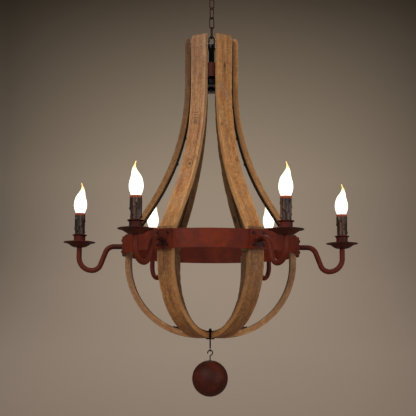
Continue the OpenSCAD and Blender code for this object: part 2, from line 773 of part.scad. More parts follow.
module bulb(i) {
    turn = tip_turns[i - 1] - 360 / spokes * (i - 1);
    color(opal) at_candle(i) translate([0, 0, bulb_z]) {
        rotate([0, 0, turn]) glass_flame();
        translate([0, 0, -cap_len + cap_contact_h]) cylinder(d = cap_d, h = cap_len - cap_contact_h);
        translate([0, 0, -cap_len]) cylinder(d = cap_d / 2, h = cap_contact_h);
    }
}

// Leads

// One unbroken lead for each candle: out of the hub cover, down the back of the upper stave,
// through the stave, the band and the arm to the lampholder
module leads() {
    color(lead_black) for (i = [1:spokes]) spoke(i) {
        run([lead_start, lead_z], [lead_x - lead_bend_r, lead_z], lead_d);
        bend([lead_x - lead_bend_r, lead_z - lead_bend_r], lead_bend_r, 0, 90, lead_d);
        run([lead_x, lead_z - lead_bend_r], [lead_x, flare_z], lead_d);
        bend([flare_c, flare_z], lead_arc_r, 180, flare, lead_d);
        slanted_run(lead_arc_end, lead_turn, lead_d);
        bend([lead_turn_x, lead_bend_r], lead_bend_r, -90, flare - 90, lead_d);
        run([lead_turn_x, 0], [root_end, 0], lead_d);
        arm_route(lead_d);
        run([candle_r, cup_bend_r - arm_drop], [candle_r, lead_end], lead_d);
    }
}

// Saddles that hold the leads on the backs of the upper staves
module lead_clips() {
    back_r = flare_r + stave_t + flat_gap;
    color(lead_black) for (i = [1:spokes], a = clip_turns) spoke(i)
        translate([flare_c, 0, flare_z]) rotate([0, 180 - a, 0]) difference() {
            translate([back_r, -clip_w / 2, -clip_len / 2]) cube([clip_h, clip_w, clip_len]);
            translate([back_r + seat_gap - flat_gap + lead_d / 2, 0, -clip_len])
                cylinder(d = lead_d + 2 * (seat_gap - flat_gap), h = 2 * clip_len, $fn = 48);
            translate([back_r - 1, -lead_d / 2 - seat_gap + flat_gap, -clip_len])
                cube([1 + seat_gap + lead_d / 2, lead_d + 2 * (seat_gap - flat_gap), 2 * clip_len]);
        }
}

// Bottom

// Hexagonal block between the stave ends, with a tongue over the back of each stave
module bottom_hub() {
    tongue_out = belly_r - stave_t - flat_gap;
    tongue_start = min(belly_c, foot_apothem - tongue_t);
    color(black_iron) at_band() difference() {
        union() {
            translate([0, 0, -cage_drop]) rotate([0, 0, 30])
                cylinder(r = foot_apothem / cos(30), h = foot_hub_t, $fn = 6);
            for (i = [1:spokes]) rotate([0, 0, 360 / spokes * (i - 1)])
                rotate([90, 0, 0]) linear_extrude(tongue_w, center = true) intersection() {
                    translate([belly_c, belly_z]) difference() {
                        circle(r = tongue_out, $fn = 240);
                        circle(r = tongue_out - tongue_t, $fn = 240);
                    }
                    polygon([[tongue_start, belly_z], [tongue_start, -cage_drop],
                        [belly_c + belly_r * sin(tongue_reach), belly_z - belly_r * cos(tongue_reach)]]);
                }
        }
        translate([0, 0, -cage_drop - 1]) cylinder(d = rod_d + 2 * hole_gap, h = foot_hub_t + 2);
        for (i = [1:spokes]) rotate([0, 0, 360 / spokes * (i - 1)]) tongue_screw_axes()
            translate([0, 0, -tongue_t - 2]) cylinder(d = screw_d + 2 * hole_gap, h = tongue_t + 4);
    }
}

module bottom_nut_and_washers() {
    nut_z = foot_hub_top + top_washer_t + 2 * flat_gap;
    nut_r = 4.2;
    color(black_iron) at_band() {
        translate([0, 0, -cage_drop - washer_t - flat_gap]) difference() {
            cylinder(d = washer_d, h = washer_t);
            translate([0, 0, -1]) cylinder(d = rod_d + 2 * hole_gap, h = washer_t + 2);
        }
        translate([0, 0, foot_hub_top + flat_gap]) difference() {
            cylinder(d = top_washer_d, h = top_washer_t);
            translate([0, 0, -1]) cylinder(d = rod_d + 2 * hole_gap, h = top_washer_t + 2);
        }
        translate([0, 0, nut_z]) difference() {
            union() {
                cylinder(r = nut_r, h = cap_nut_h / 2, $fn = 6);
                translate([0, 0, cap_nut_h / 2]) intersection() {
                    sphere(r = nut_r * cos(30));
                    cylinder(r = nut_r, h = nut_r);
                }
            }
            translate([0, 0, -1]) cylinder(d = rod_d + 2 * thread_gap, h = cap_nut_h - 0.5);
        }
    }
}

// Rod through the bottom hub, bent to an eye that lies in the YZ plane
module eye_rod() {
    rod_top = foot_hub_top + top_washer_t + cap_nut_h - 2;
    color(black_iron) at_band() {
        translate([0, 0, eye_c + eye_r]) cylinder(d = rod_d, h = rod_top - eye_c - eye_r);
        rotate([0, 0, 90]) bend([0, eye_c], eye_r, 0, 360, eye_wire);
    }
}

// Open screw hook in the XZ plane, its mouth to the left
module ball_hook() {
    color(black_iron) at_band() {
        bend([0, hook_c], hook_r, -90, 290, hook_wire);
        translate([0, 0, -ball_top - hook_screw]) cylinder(d = hook_wire, h = hook_screw + hook_shank, $fn = 32);
    }
}

module wooden_ball() {
    color(dark_rust) at_band() difference() {
        translate([0, 0, -ball_top - ball_d / 2]) sphere(d = ball_d, $fn = 96);
        translate([0, 0, -ball_top - hook_screw - 0.5]) cylinder(d = hook_wire + 2 * thread_gap, h = hook_screw + 5);
    }
}

ceiling_plate();
ceiling_loop();
ceiling_bracket();
for (k = [1:links]) chain_link(k);
hanging_loop();
hub_stem();
hub_drum();
hub_cover();
hub_nuts();
wood_screws();
for (i = [1:spokes]) upper_stave(i);
for (i = [1:spokes]) lower_stave(i);
iron_band();
for (i = [1:spokes]) arm(i);
plate_bolts();
for (i = [1:spokes]) drip_pan(i);
candle_cups();
for (i = [1:spokes]) candle_sleeve(i);
lampholders();
for (i = [1:spokes]) bulb(i);
leads();
lead_clips();
bottom_hub();
bottom_nut_and_washers();
eye_rod();
ball_hook();
wooden_ball();
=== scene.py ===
"""Rustic candle chandelier: barrel staves, iron work, candle lights and a wooden ball, on its frame.

Metres, Z up, origin on the ceiling. Each spoke's plane is described by r, the distance from the axis,
and z, the height above the middle of the iron band, both in millimetres until a mesh is made.
"""

from __future__ import annotations

import json
import logging
import math
import random
from dataclasses import dataclass
from enum import Enum
from typing import Any, Callable, Sequence

import bmesh
import bpy
from mathutils import Matrix, Vector, noise

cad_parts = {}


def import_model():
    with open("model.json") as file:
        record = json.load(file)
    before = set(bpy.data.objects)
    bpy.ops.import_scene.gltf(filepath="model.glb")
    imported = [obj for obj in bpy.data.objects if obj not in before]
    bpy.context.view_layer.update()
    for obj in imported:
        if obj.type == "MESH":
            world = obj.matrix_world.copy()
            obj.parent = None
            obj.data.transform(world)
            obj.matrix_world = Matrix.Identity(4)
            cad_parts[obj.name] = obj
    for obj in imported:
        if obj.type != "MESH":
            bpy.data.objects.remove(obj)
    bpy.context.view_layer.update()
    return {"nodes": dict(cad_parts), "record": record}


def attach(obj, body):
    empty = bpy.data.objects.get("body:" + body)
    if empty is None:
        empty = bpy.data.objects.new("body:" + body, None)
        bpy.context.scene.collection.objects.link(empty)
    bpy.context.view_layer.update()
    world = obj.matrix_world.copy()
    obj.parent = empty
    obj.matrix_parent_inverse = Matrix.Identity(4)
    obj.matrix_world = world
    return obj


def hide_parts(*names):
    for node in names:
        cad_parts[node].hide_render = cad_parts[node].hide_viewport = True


logging.basicConfig(level=logging.INFO, format="%(message)s")
log = logging.getLogger("chandelier")

MM = 0.001
SPOKES = 6
RING_Z = -759.35  # the band's middle, in millimetres from the ceiling
TINY = 1e-6  # radius at which a turned end counts as closed
TOUCH = 0.01  # distance in millimetres at which two places count as one
BODY = "chandelier"  # the body that all but the bulbs and the ball move with
Point = tuple[float, float]
Colour = tuple[float, float, float]
Sides = tuple[list[Point], list[Point]]
ToneAndShade = tuple[Point, Point]
BLACK: Colour = (0.0, 0.0, 0.0)
WHITE: Colour = (1.0, 1.0, 1.0)
# grey of the painted shade that darkens the staves
PAINTED_SHADE_GREY: Colour = (0.25, 0.25, 0.25)
NO_SHIFT = (0.0, 0.0, 0.0)


# Colours and shader maths


def srgb(text: str) -> Colour:
    """Linear colour of a six-digit hex colour."""
    parts = [int(text[i : i + 2], 16) / 255 for i in (0, 2, 4)]
    return tuple(c / 12.92 if c <= 0.04045 else ((c + 0.055) / 1.055) ** 2.4 for c in parts)


def tones(text: str) -> tuple[Colour, ...]:
    """Linear colours of several hex colours with blanks between them."""
    return tuple(srgb(part) for part in text.split())


class Socket:
    """A shader value that reads like a number: each operator adds a Math node."""

    def __init__(self, paint: "Paint", out: Any) -> None:
        """Wraps one output.

        Args:
            paint: the material being built.
            out: the output socket.
        """
        self.paint = paint
        self.out = out

    def maths(self, operation: str, *others: Any, clamp: bool = False) -> "Socket":
        """Adds a Math node.

        Args:
            operation: name of the node's operation.
            others: further operands, sockets or numbers.
            clamp: whether the result is kept between 0 and 1.

        Returns:
            The node's output.
        """
        settings = {"operation": operation, "use_clamp": clamp}
        made = self.paint.node("ShaderNodeMath", settings, dict(enumerate((self, *others))))
        return Socket(self.paint, made.outputs[0])

    def __add__(self, other: Any) -> "Socket":
        """Sum."""
        return self.maths("ADD", other)

    __radd__ = __add__

    def __sub__(self, other: Any) -> "Socket":
        """Difference."""
        return self.maths("SUBTRACT", other)

    def __rsub__(self, other: float) -> "Socket":
        """Difference from a number."""
        return self.maths("MULTIPLY", -1.0).maths("ADD", other)

    def __mul__(self, other: Any) -> "Socket":
        """Product."""
        return self.maths("MULTIPLY", other)

    __rmul__ = __mul__

    def over(self, low: float, high: float) -> "Socket":
        """Smooth step between two values.

        Args:
            low: value where the step is 0.
            high: value where the step is 1; it may be lower than low.

        Returns:
            The step, from 0 to 1.
        """
        start, end, flip = (low, high, False) if low < high else (high, low, True)
        values = {"Value": self, "From Min": start, "From Max": end}
        made = self.paint.node("ShaderNodeMapRange", {"interpolation_type": "SMOOTHSTEP"}, values)
        step = Socket(self.paint, made.outputs[0])
        return 1.0 - step if flip else step

    def held(self) -> "Socket":
        """The value kept between 0 and 1."""
        return self.maths("ADD", 0.0, clamp=True)

    def wave(self) -> "Socket":
        """Sine of the value, moved between 0 and 1."""
        return self.maths("SINE") * 0.5 + 0.5


class Paint:
    """Node tree of one material around a Principled shader."""

    def __init__(self, name: str, **constants: Any) -> None:
        """Makes the material.

        Args:
            name: the material's name.
            constants: values of the shader's sockets, with underscores for the blanks in their names.
        """
        self.material = bpy.data.materials.new(name)
        self.material.use_nodes = True
        self.tree = self.material.node_tree
        self.tree.nodes.clear()
        self.shader = self.node("ShaderNodeBsdfPrincipled")
        for key, value in constants.items():
            self.shader.inputs[key.replace("_", " ")].default_value = value
        out = self.node("ShaderNodeOutputMaterial")
        self.tree.links.new(self.shader.outputs[0], out.inputs["Surface"])

    def node(self, kind: str, settings: dict | None = None, values: dict | None = None) -> Any:
        """Adds a node.

        Args:
            kind: the node's type.
            settings: its own settings, set first; "stops" are the colour stops of a ramp.
            values: numbers, colours or sockets for its inputs, by name or number.

        Returns:
            The node.
        """
        made = self.tree.nodes.new(kind)
        for key, value in (settings or {}).items():
            if key == "stops":
                elements = made.color_ramp.elements
                while len(elements) < len(value):
                    elements.new(0.5)
                for element, (place, colour) in zip(elements, value):
                    element.position = place
                    element.color = (*colour, 1.0)
            else:
                setattr(made, key, value)
        for key, value in (values or {}).items():
            if isinstance(value, Socket):
                self.tree.links.new(value.out, made.inputs[key])
            elif isinstance(value, tuple) and made.inputs[key].type == "RGBA":
                made.inputs[key].default_value = (*value, 1.0)
            else:
                made.inputs[key].default_value = value
        return made

    def place(self) -> Socket:
        """Object coordinates, in metres."""
        return Socket(self, self.node("ShaderNodeTexCoord").outputs["Object"])

    def unrolled(self) -> Socket:
        """The piece's own UV map, laid out in metres."""
        return Socket(self, self.node("ShaderNodeUVMap", {"uv_map": "surface"}).outputs[0])

    def mark(self, name: str) -> Socket:
        """A number painted on the piece's vertices."""
        return Socket(self, self.node("ShaderNodeAttribute", {"attribute_name": name}).outputs["Fac"])

    def split(self, where: Socket) -> tuple[Socket, Socket, Socket]:
        """The three parts of a vector."""
        made = self.node("ShaderNodeSeparateXYZ", {}, {0: where})
        return tuple(Socket(self, out) for out in made.outputs)

    def radius(self, where: Socket) -> Socket:
        """Distance from the chandelier's axis, in metres."""
        x, y, _ = self.split(where)
        return (x * x + y * y).maths("SQRT")

    def noise(
        self, where: Socket, scale: float | Colour, detail: float, rough: float,
        bend: float = 0.0, shift: tuple[float, float, float] = NO_SHIFT,
    ) -> Socket:
        """Cloudy noise around 0.5, drawn out into streaks when the scale differs along X, Y and Z.

        Args:
            where: coordinates.
            scale: one scale, or one for each direction.
            detail: number of finer layers.
            rough: strength of the finer layers.
            bend: distortion.
            shift: offset of the coordinates, only with a scale for each direction.

        Returns:
            The noise.
        """
        if isinstance(scale, tuple):
            mapped = self.node("ShaderNodeMapping", {}, {"Vector": where, "Scale": scale, "Location": shift})
            where, scale = Socket(self, mapped.outputs[0]), 1.0
        values = {"Vector": where, "Scale": scale, "Detail": detail, "Roughness": rough, "Distortion": bend}
        return Socket(self, self.node("ShaderNodeTexNoise", {}, values).outputs["Fac"])

    def cells(self, where: Socket, scale: Colour) -> Socket:
        """Distance to the nearest of scattered points.

        Args:
            where: coordinates.
            scale: their scale along X, Y and Z.

        Returns:
            The distance.
        """
        mapped = self.node("ShaderNodeMapping", {}, {"Vector": where, "Scale": scale})
        values = {"Vector": Socket(self, mapped.outputs[0]), "Scale": 1.0}
        return Socket(self, self.node("ShaderNodeTexVoronoi", {}, values).outputs["Distance"])

    def ramp(self, value: Socket, *stops: tuple[float, Colour]) -> Socket:
        """Colour looked up between stops."""
        return Socket(self, self.node("ShaderNodeValToRGB", {"stops": stops}, {0: value}).outputs[0])

    def mix(self, share: Any, under: Any, over: Any, mode: str = "MIX") -> Socket:
        """Lays one colour over another.

        Args:
            share: share of the upper colour.
            under: lower colour.
            over: upper colour.
            mode: name of the blend.

        Returns:
            The mixed colour.
        """
        settings = {"data_type": "RGBA", "blend_type": mode}
        made = self.node("ShaderNodeMix", settings, {0: share, 6: under, 7: over})
        return Socket(self, made.outputs[2])

    def coats(self, colour: Any, *coats: tuple[Any, Any]) -> Any:
        """Lays coats over a colour, from the lowest to the top one.

        Args:
            colour: the colour below them all.
            coats: the share and the colour of each coat.

        Returns:
            The mixed colour.
        """
        for share, coat in coats:
            colour = self.mix(share, colour, coat)
        return colour

    def finish(
        self, colour: Socket, rough: Socket | None = None, height: Socket | None = None, depth: float = 0.0005
    ) -> Any:
        """Links what varies to the shader.

        Args:
            colour: base colour.
            rough: roughness.
            height: relief between 0 and 1.
            depth: depth of that relief in metres.

        Returns:
            The finished material.
        """
        self.tree.links.new(colour.out, self.shader.inputs["Base Color"])
        if rough is not None:
            self.tree.links.new(rough.out, self.shader.inputs["Roughness"])
        if height is not None:
            bump = self.node("ShaderNodeBump", {}, {"Height": height, "Distance": depth, "Strength": 1.0})
            self.tree.links.new(bump.outputs[0], self.shader.inputs["Normal"])
        return self.material


# Finishes


@dataclass(frozen=True)
class AntiquedIron:
    """Brushed-on rust-coloured paint over iron: mottled, streaked, darker in its pits, with painted shade on
    the arms and under their feet, and darker near the axis: painted shade on the hub drum, the chain's own
    tone.
    """

    name: str
    body: Colour
    shade: Colour
    rubbed: Colour
    rough: float = 0.5
    specks: float = 0.5
    # strength of the painted shade on the arms, which also switches on their painted shadows on the wall
    # plates
    arms: float = 0.0
    # how much darker near the axis: painted shade on the hub drum among the staves, and the chain's own
    # darker tone
    hub: float = 0.5

    def painted_arm_shadow(self, paint: Paint, where: Socket, radius: Socket) -> Socket:
        """Painted shadow of each arm: dark spots on the wall plates, just under the arms' feet.

        Args:
            paint: the material being built.
            where: coordinates.
            radius: distance from the chandelier's axis.

        Returns:
            The share of painted shadow.
        """
        x, y, z = paint.split(where)
        side = (y.maths("ARCTAN2", x) * (SPOKES / 2)).maths("SINE") * radius * (2 / SPOKES)
        drop = z - (RING_Z - 9) * MM
        spot = (side * side + drop * drop).maths("SQRT").over(0.018, 0.009)
        return spot * radius.over(0.2355, 0.237) * radius.over(0.275, 0.262)

    def material(self) -> Any:
        """Brushes the paint on and wears it.

        Returns:
            The material.
        """
        paint = Paint(self.name, Metallic=0.0, Specular_IOR_Level=0.18)
        where = paint.place()
        radius = paint.radius(where)
        clouds = paint.noise(where, 22, 5, 0.6)
        bloom = paint.noise(where, 8, 4, 0.6)
        brush = paint.noise(where, (60, 60, 260), 3, 0.6)
        grit = paint.noise(where, 700, 3, 0.7)
        pits = paint.cells(where, (260, 260, 260))
        colour = paint.coats(
            self.shade,
            (clouds.over(0.35, 0.68), self.body),
            (brush.over(0.52, 0.8) * 0.35, self.rubbed),
            (bloom.over(0.5, 0.66) * 0.5, self.rubbed),
            (grit.over(0.56, 0.72) * self.specks, self.shade),
            (pits.over(0.24, 0.12) * clouds.over(0.45, 0.6) * 0.5, self.shade),
            # painted shade: the arms, out past the band, are painted darker than the band
            (radius.over(0.243, 0.258) * self.arms, self.shade),
            # darker near the axis: painted shade on the hub drum, the chain's own darker tone
            (radius.over(0.2, 0.12) * self.hub, srgb("170c0a")),
        )
        if self.arms:
            # painted shadow: each arm's shade on its wall plate, laid on in near-black
            colour = paint.mix(self.painted_arm_shadow(paint, where, radius) * 0.72, colour, srgb("140806"))
        rough = (clouds * 0.35 + (self.rough - 0.17)).held()
        return paint.finish(colour, rough, grit * 0.35 + clouds * 0.5 - pits.over(0.25, 0.1) * 0.4, 0.0004)


@dataclass(frozen=True)
class BlackLacquer:
    """Glossy black lacquer with a thin orange peel and a little dust, browner out at the band."""

    name: str
    body: Colour
    dust: Colour
    rusty: Colour

    def material(self) -> Any:
        """Lays dust and rust over the lacquer.

        Returns:
            The material.
        """
        paint = Paint(self.name, Metallic=0.0, Specular_IOR_Level=0.16)
        where = paint.place()
        peel = paint.noise(where, 420, 2, 0.5)
        clouds = paint.noise(where, 30, 4, 0.6)
        dusty, far = clouds.over(0.45, 0.75) * 0.5, paint.radius(where).over(0.2, 0.23)
        colour = paint.coats(self.body, (dusty, self.dust), (far, self.rusty))
        return paint.finish(colour, (clouds * 0.3 + 0.1).held(), peel, 0.00015)


class Grain(Enum):
    """How strongly the checks show on a stave."""

    SAWN = 0.75
    STAINED = 0.5


class Scar(Enum):
    """Kinds of single marks on a stave."""

    KNOT = 1
    CUTS = 2
    STAIN = 3


@dataclass(frozen=True)
class WeatheredOak:
    """Old barrel oak: long fine grain, pores, knots and checks, worm holes, stains and rubbed edges."""

    name: str
    pale: Colour
    mid: Colour
    deep: Colour
    stain: Colour
    ruddy: Colour
    dust: Colour
    grain: Grain
    scars: tuple[tuple[Scar, float, float, float], ...] = ()
    cut_pitch: float = 0.0075

    def scarred(self, paint: Paint, sheet: Socket, colour: Socket) -> Socket:
        """Adds the single marks.

        Args:
            paint: the material being built.
            sheet: coordinates on the unrolled stave.
            colour: the colour below.

        Returns:
            The marked colour.
        """
        along, across, _ = paint.split(sheet)
        for kind, u, v, size in self.scars:
            du, dv = along - u, across - v
            if kind is Scar.CUTS:
                lines = (du * (2 * math.pi / self.cut_pitch)).maths("COSINE").over(0.3, 0.9)
                near = (du * du).over(1.35e-4, 1.15e-4) * (dv * dv).over(size**2, (0.8 * size) ** 2)
                colour = paint.mix(lines * near * 0.85, colour, self.deep)
                continue
            reach = (du * du * 0.4 + dv * dv).maths("SQRT") * (1 / size)
            if kind is Scar.STAIN:
                colour = paint.mix(reach.over(1.0, 0.2) * 0.6, colour, self.stain)
                continue
            rings = (reach * 8).wave() * reach.over(2.0, 0.9) * 0.7
            colour = paint.coats(colour, (rings, self.deep), (reach.over(0.6, 0.2) * 0.6, self.stain))
        return colour

    def material(self) -> Any:
        """Builds the oak from its grain up to its wear.

        Returns:
            The material.
        """
        paint = Paint(self.name, Specular_IOR_Level=0.25)
        sheet = paint.unrolled()
        _, across, _ = paint.split(sheet)
        wave = paint.noise(sheet, (4, 22, 1), 3, 0.5)
        knots = paint.cells(sheet, (4.2, 15, 1))
        knot, swirl = knots.over(0.07, 0.015), knots.over(0.22, 0.03)
        fibres = paint.noise(sheet, (14, 520, 1), 5, 0.66, 0.3)
        pores = paint.noise(sheet, (46, 900, 1), 3, 0.6).over(0.6, 0.7)
        rings = (across * 340 + wave * 13 + swirl * 4).wave()
        blotch = paint.noise(sheet, (9, 30, 1), 4, 0.62)
        dirt = paint.noise(sheet, (38, 70, 1), 5, 0.65)
        mottle = paint.noise(sheet, (120, 210, 1), 4, 0.7)
        saw = paint.noise(sheet, (430, 11, 1), 3, 0.6)
        tone = rings * 0.04 + fibres * 0.33 + blotch * 0.28 + dirt * 0.28 + mottle * 0.4 + saw * 0.14 - 0.25
        check = paint.noise(sheet, (2.4, 330, 1), 2, 0.4).over(0.69, 0.75)
        worm = paint.cells(sheet, (55, 55, 1)).over(0.07, 0.045)
        scratch = paint.noise(sheet, (380, 18, 1), 2, 0.5).over(0.7, 0.76)
        ruddy = paint.noise(sheet, (11, 46, 1), 4, 0.6, shift=(3.1, 1.7, 0))
        dusty = paint.noise(sheet, (17, 40, 1), 4, 0.62, shift=(7.3, 4.1, 0))
        colour = paint.ramp(tone.held(), (0.34, self.deep), (0.485, self.mid), (0.63, self.pale))
        colour = paint.mix(blotch.over(0.52, 0.74) * 0.4, colour, self.stain, "MULTIPLY")
        colour = paint.coats(
            colour,
            (dirt.over(0.54, 0.72) * 0.4, self.deep),
            (ruddy.over(0.52, 0.7) * 0.45, self.ruddy),
            (dusty.over(0.52, 0.68) * 0.5, self.dust),
            (saw.over(0.58, 0.7) * blotch.over(0.4, 0.56) * 0.45, self.deep),
            ((knot * 0.75 + swirl * 0.12).held(), self.stain),
            ((check * self.grain.value).held(), self.stain),
            (pores * 0.4, self.stain),
            (worm * 0.7, self.stain),
        )
        lost = paint.mark("worn")
        colour = paint.coats(
            self.scarred(paint, sheet, colour),
            ((lost * (blotch + 0.35) * 0.6).held(), self.pale),
            (scratch * blotch.over(0.45, 0.6) * 0.35, self.pale),
        )
        grey = paint.node("ShaderNodeHueSaturation", {}, {"Saturation": 0.62, "Color": colour})
        colour = paint.mix(paint.mark("bleached"), colour, Socket(paint, grey.outputs[0]))
        # painted shade: each stave's painted mark, mostly shade and partly board tone, darkens it down to a
        # quarter
        painted_shade = paint.mix(paint.mark("darkened"), WHITE, PAINTED_SHADE_GREY)
        colour = paint.mix(1.0, colour, painted_shade, "MULTIPLY")
        colour = paint.mix(paint.mark("end_grain") * 0.6, colour, self.deep)
        height = fibres * 0.5 + rings * 0.08 + dirt * 0.2 - check * 0.8
        height = height - worm * 0.9 - knot * 0.25 - pores * 0.3 + 0.6
        return paint.finish(colour, (blotch * 0.25 + 0.55 - lost * 0.1).held(), height, 0.0008)


@dataclass(frozen=True)
class BurntResin:
    """Dark cast resin made to look like candle wax: glossy and streaked, with the bulb's glow painted on at
    the lip.
    """

    name: str
    body: Colour
    streak: Colour
    lip: Colour
    top: float

    def material(self) -> Any:
        """Lays the streaks and the painted glow at the lip over the body.

        Returns:
            The material.
        """
        paint = Paint(self.name, Specular_IOR_Level=0.25)
        where = paint.place()
        _, _, height = paint.split(where)
        runs = paint.noise(where, (210, 210, 9), 4, 0.6)
        clouds = paint.noise(where, 60, 4, 0.6)
        # painted light: the lit bulb's orange glow on the sleeve's rim
        lip = height.over(self.top - 0.009, self.top - 0.001) * 0.9 + clouds.over(0.62, 0.75) * 0.15
        colour = paint.coats(self.body, (runs.over(0.48, 0.66) * 0.8, self.streak), (lip.held(), self.lip))
        return paint.finish(colour, (clouds * 0.3 + 0.2).held(), runs * 0.6 + clouds * 0.4, 0.0006)


@dataclass(frozen=True)
class LitGlass:
    """Frosted white bulb glass, lit: brightest at its belly and warmer at the tip and the neck."""

    name: str
    core: Colour
    edge: Colour
    low: float
    high: float
    power: float

    def material(self) -> Any:
        """Lights the glass from its neck to its tip.

        Returns:
            The material.
        """
        paint = Paint(self.name, Roughness=0.25, Specular_IOR_Level=0.5, Emission_Strength=self.power)
        where = paint.place()
        _, _, height = paint.split(where)
        span = self.high - self.low
        foot, neck, waist, tip = (self.low + share * span for share in (-0.1, 0.12, 0.6, 0.95))
        belly = height.over(foot, neck) * height.over(tip, waist)
        frost = paint.noise(where, 900, 2, 0.5)
        glow = paint.mix((belly * 0.9 + frost * 0.1).held(), self.edge, self.core)
        paint.tree.links.new(glow.out, paint.shader.inputs["Emission Color"])
        return paint.finish(glow, None, frost, 0.0001)


@dataclass(frozen=True)
class PlainCoat:
    """Even finish with faint clouds, for sheathing, glaze and plated metal."""

    name: str
    body: Colour
    cloud: Colour
    rough: float
    metal: float = 0.0

    def material(self) -> Any:
        """Lays the clouds over the coat.

        Returns:
            The material.
        """
        paint = Paint(self.name, Metallic=self.metal, Specular_IOR_Level=0.4)
        where = paint.place()
        clouds = paint.noise(where, 90, 4, 0.6)
        fine = paint.noise(where, 1100, 2, 0.5)
        colour = paint.mix(clouds.over(0.4, 0.7), self.body, self.cloud)
        return paint.finish(colour, (clouds * 0.16 + (self.rough - 0.08)).held(), fine, 0.0001)


@dataclass(frozen=True)
class StainedBall:
    """Turned wood under a dark rust-brown stain that wears through on the lathe rings."""

    name: str
    body: Colour
    deep: Colour
    bare: Colour

    def material(self) -> Any:
        """Lays the stain over the turned wood.

        Returns:
            The material.
        """
        paint = Paint(self.name, Specular_IOR_Level=0.15)
        where = paint.place()
        grain = paint.noise(where, (260, 260, 22), 4, 0.6, 0.3)
        clouds = paint.noise(where, 26, 5, 0.62)
        turned = paint.noise(where, (8, 8, 620), 2, 0.5)
        colour = paint.coats(
            self.deep,
            (clouds.over(0.38, 0.66), self.body),
            ((grain.over(0.55, 0.75) * 0.45).held(), self.deep),
            ((turned.over(0.62, 0.76) * clouds.over(0.5, 0.7) * 0.4).held(), self.bare),
        )
        return paint.finish(colour, (clouds * 0.2 + 0.5).held(), grain * 0.5 + turned * 0.5, 0.0004)


# Mesh helpers


def shares(count: int, first: int = 1) -> list[float]:
    """Even steps up to 1, from 0 or from the first step."""
    return [k / count for k in range(first, count + 1)]


def degrees(*limits: int) -> list[float]:
    """A range of degrees, in radians."""
    return [math.radians(x) for x in range(*limits)]


def bearing(index: int) -> float:
    """Direction of a spoke, in radians; spokes are numbered from 1."""
    return math.radians(360 / SPOKES * (index - 1))


def spoke_place(index: int, r: float = 0.0) -> Matrix:
    """Place at radius r on a spoke, level with the band's middle, in millimetres."""
    return Matrix.Rotation(bearing(index), 4, "Z") @ Matrix.Translation((r, 0, RING_Z))


def in_scene(name: str, data: Any) -> Any:
    """Makes an object and links it to the scene.

    Args:
        name: the object's name.
        data: its mesh, lamp or camera.

    Returns:
        The object.
    """
    made = bpy.data.objects.new(name, data)
    bpy.context.scene.collection.objects.link(made)
    return made


def to_mesh(made: Any, name: str) -> Any:
    """Makes a mesh of a bmesh.

    Args:
        made: the bmesh, which is freed.
        name: the mesh's name.

    Returns:
        The mesh.
    """
    mesh = bpy.data.meshes.new(name)
    made.to_mesh(mesh)
    made.free()
    return mesh


def shade_smooth(mesh: Any) -> Any:
    """Shades every face of a mesh smoothly.

    Args:
        mesh: the mesh.

    Returns:
        The same mesh.
    """
    for face in mesh.polygons:
        face.use_smooth = True
    return mesh


def new_piece(name: str, mesh: Any, body: str, slot: str, material: Any, *nodes: str) -> None:
    """Puts a mesh in the scene as a piece of the object.

    Args:
        name: the piece's name.
        mesh: its mesh.
        body: the body it moves with.
        slot: its material slot in the record; not used.
        material: its material.
        nodes: the frame's nodes it stands for.
    """
    made = in_scene(name, mesh)
    mesh.materials.clear()
    mesh.materials.append(material)
    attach(made, body)
    if nodes:
        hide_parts(*nodes)
    log.info("%s: %d faces, moves with %s", name, len(mesh.polygons), body)


def add_piece(
    made: Any, name: str, move: Matrix, angle: float, body: str, slot: str, material: Any, *nodes: str
) -> None:
    """Turns a bmesh in millimetres into a piece, smooth but for edges sharper than an angle in degrees.

    Args:
        made: the bmesh, which is freed.
        name: the piece's name.
        move: its place, in millimetres.
        angle: the sharpest smooth edge.
        body: the body it moves with.
        slot: its material slot in the record.
        material: its material.
        nodes: the frame's nodes it stands for.
    """
    made.transform(Matrix.Scale(MM, 4) @ move)
    for face in made.faces:
        face.smooth = True
    for edge in made.edges:
        if len(edge.link_faces) == 2 and edge.calc_face_angle(0.0) > math.radians(angle):
            edge.smooth = False
    new_piece(name, to_mesh(made, name), body, slot, material, *nodes)


def ring(
    made: Any, radius: float, z: float, steps: int, centre: Point = (0.0, 0.0),
    wobble: Callable[[float, float], float] | None = None,
) -> list[Any]:
    """Adds a ring of vertices.

    Args:
        made: the bmesh.
        radius: radius of the ring.
        z: its height.
        steps: number of vertices.
        centre: its middle.
        wobble: change of radius by angle and height.

    Returns:
        The vertices.
    """
    row = []
    for k in range(steps):
        turn = 2 * math.pi * k / steps
        r = radius + (wobble(turn, z) if wobble else 0.0)
        row.append(made.verts.new((centre[0] + r * math.cos(turn), centre[1] + r * math.sin(turn), z)))
    return row


def bridge(made: Any, low: Sequence[Any], high: Sequence[Any]) -> None:
    """Joins two rings, or a ring and a single vertex, with faces.

    Args:
        made: the bmesh.
        low: vertices of the first ring.
        high: vertices of the second ring.
    """
    steps = max(len(low), len(high))
    for k in range(steps):
        n = (k + 1) % steps
        if len(low) == 1:
            made.faces.new((low[0], high[n], high[k]))
        elif len(high) == 1:
            made.faces.new((low[k], low[n], high[0]))
        else:
            made.faces.new((low[k], low[n], high[n], high[k]))


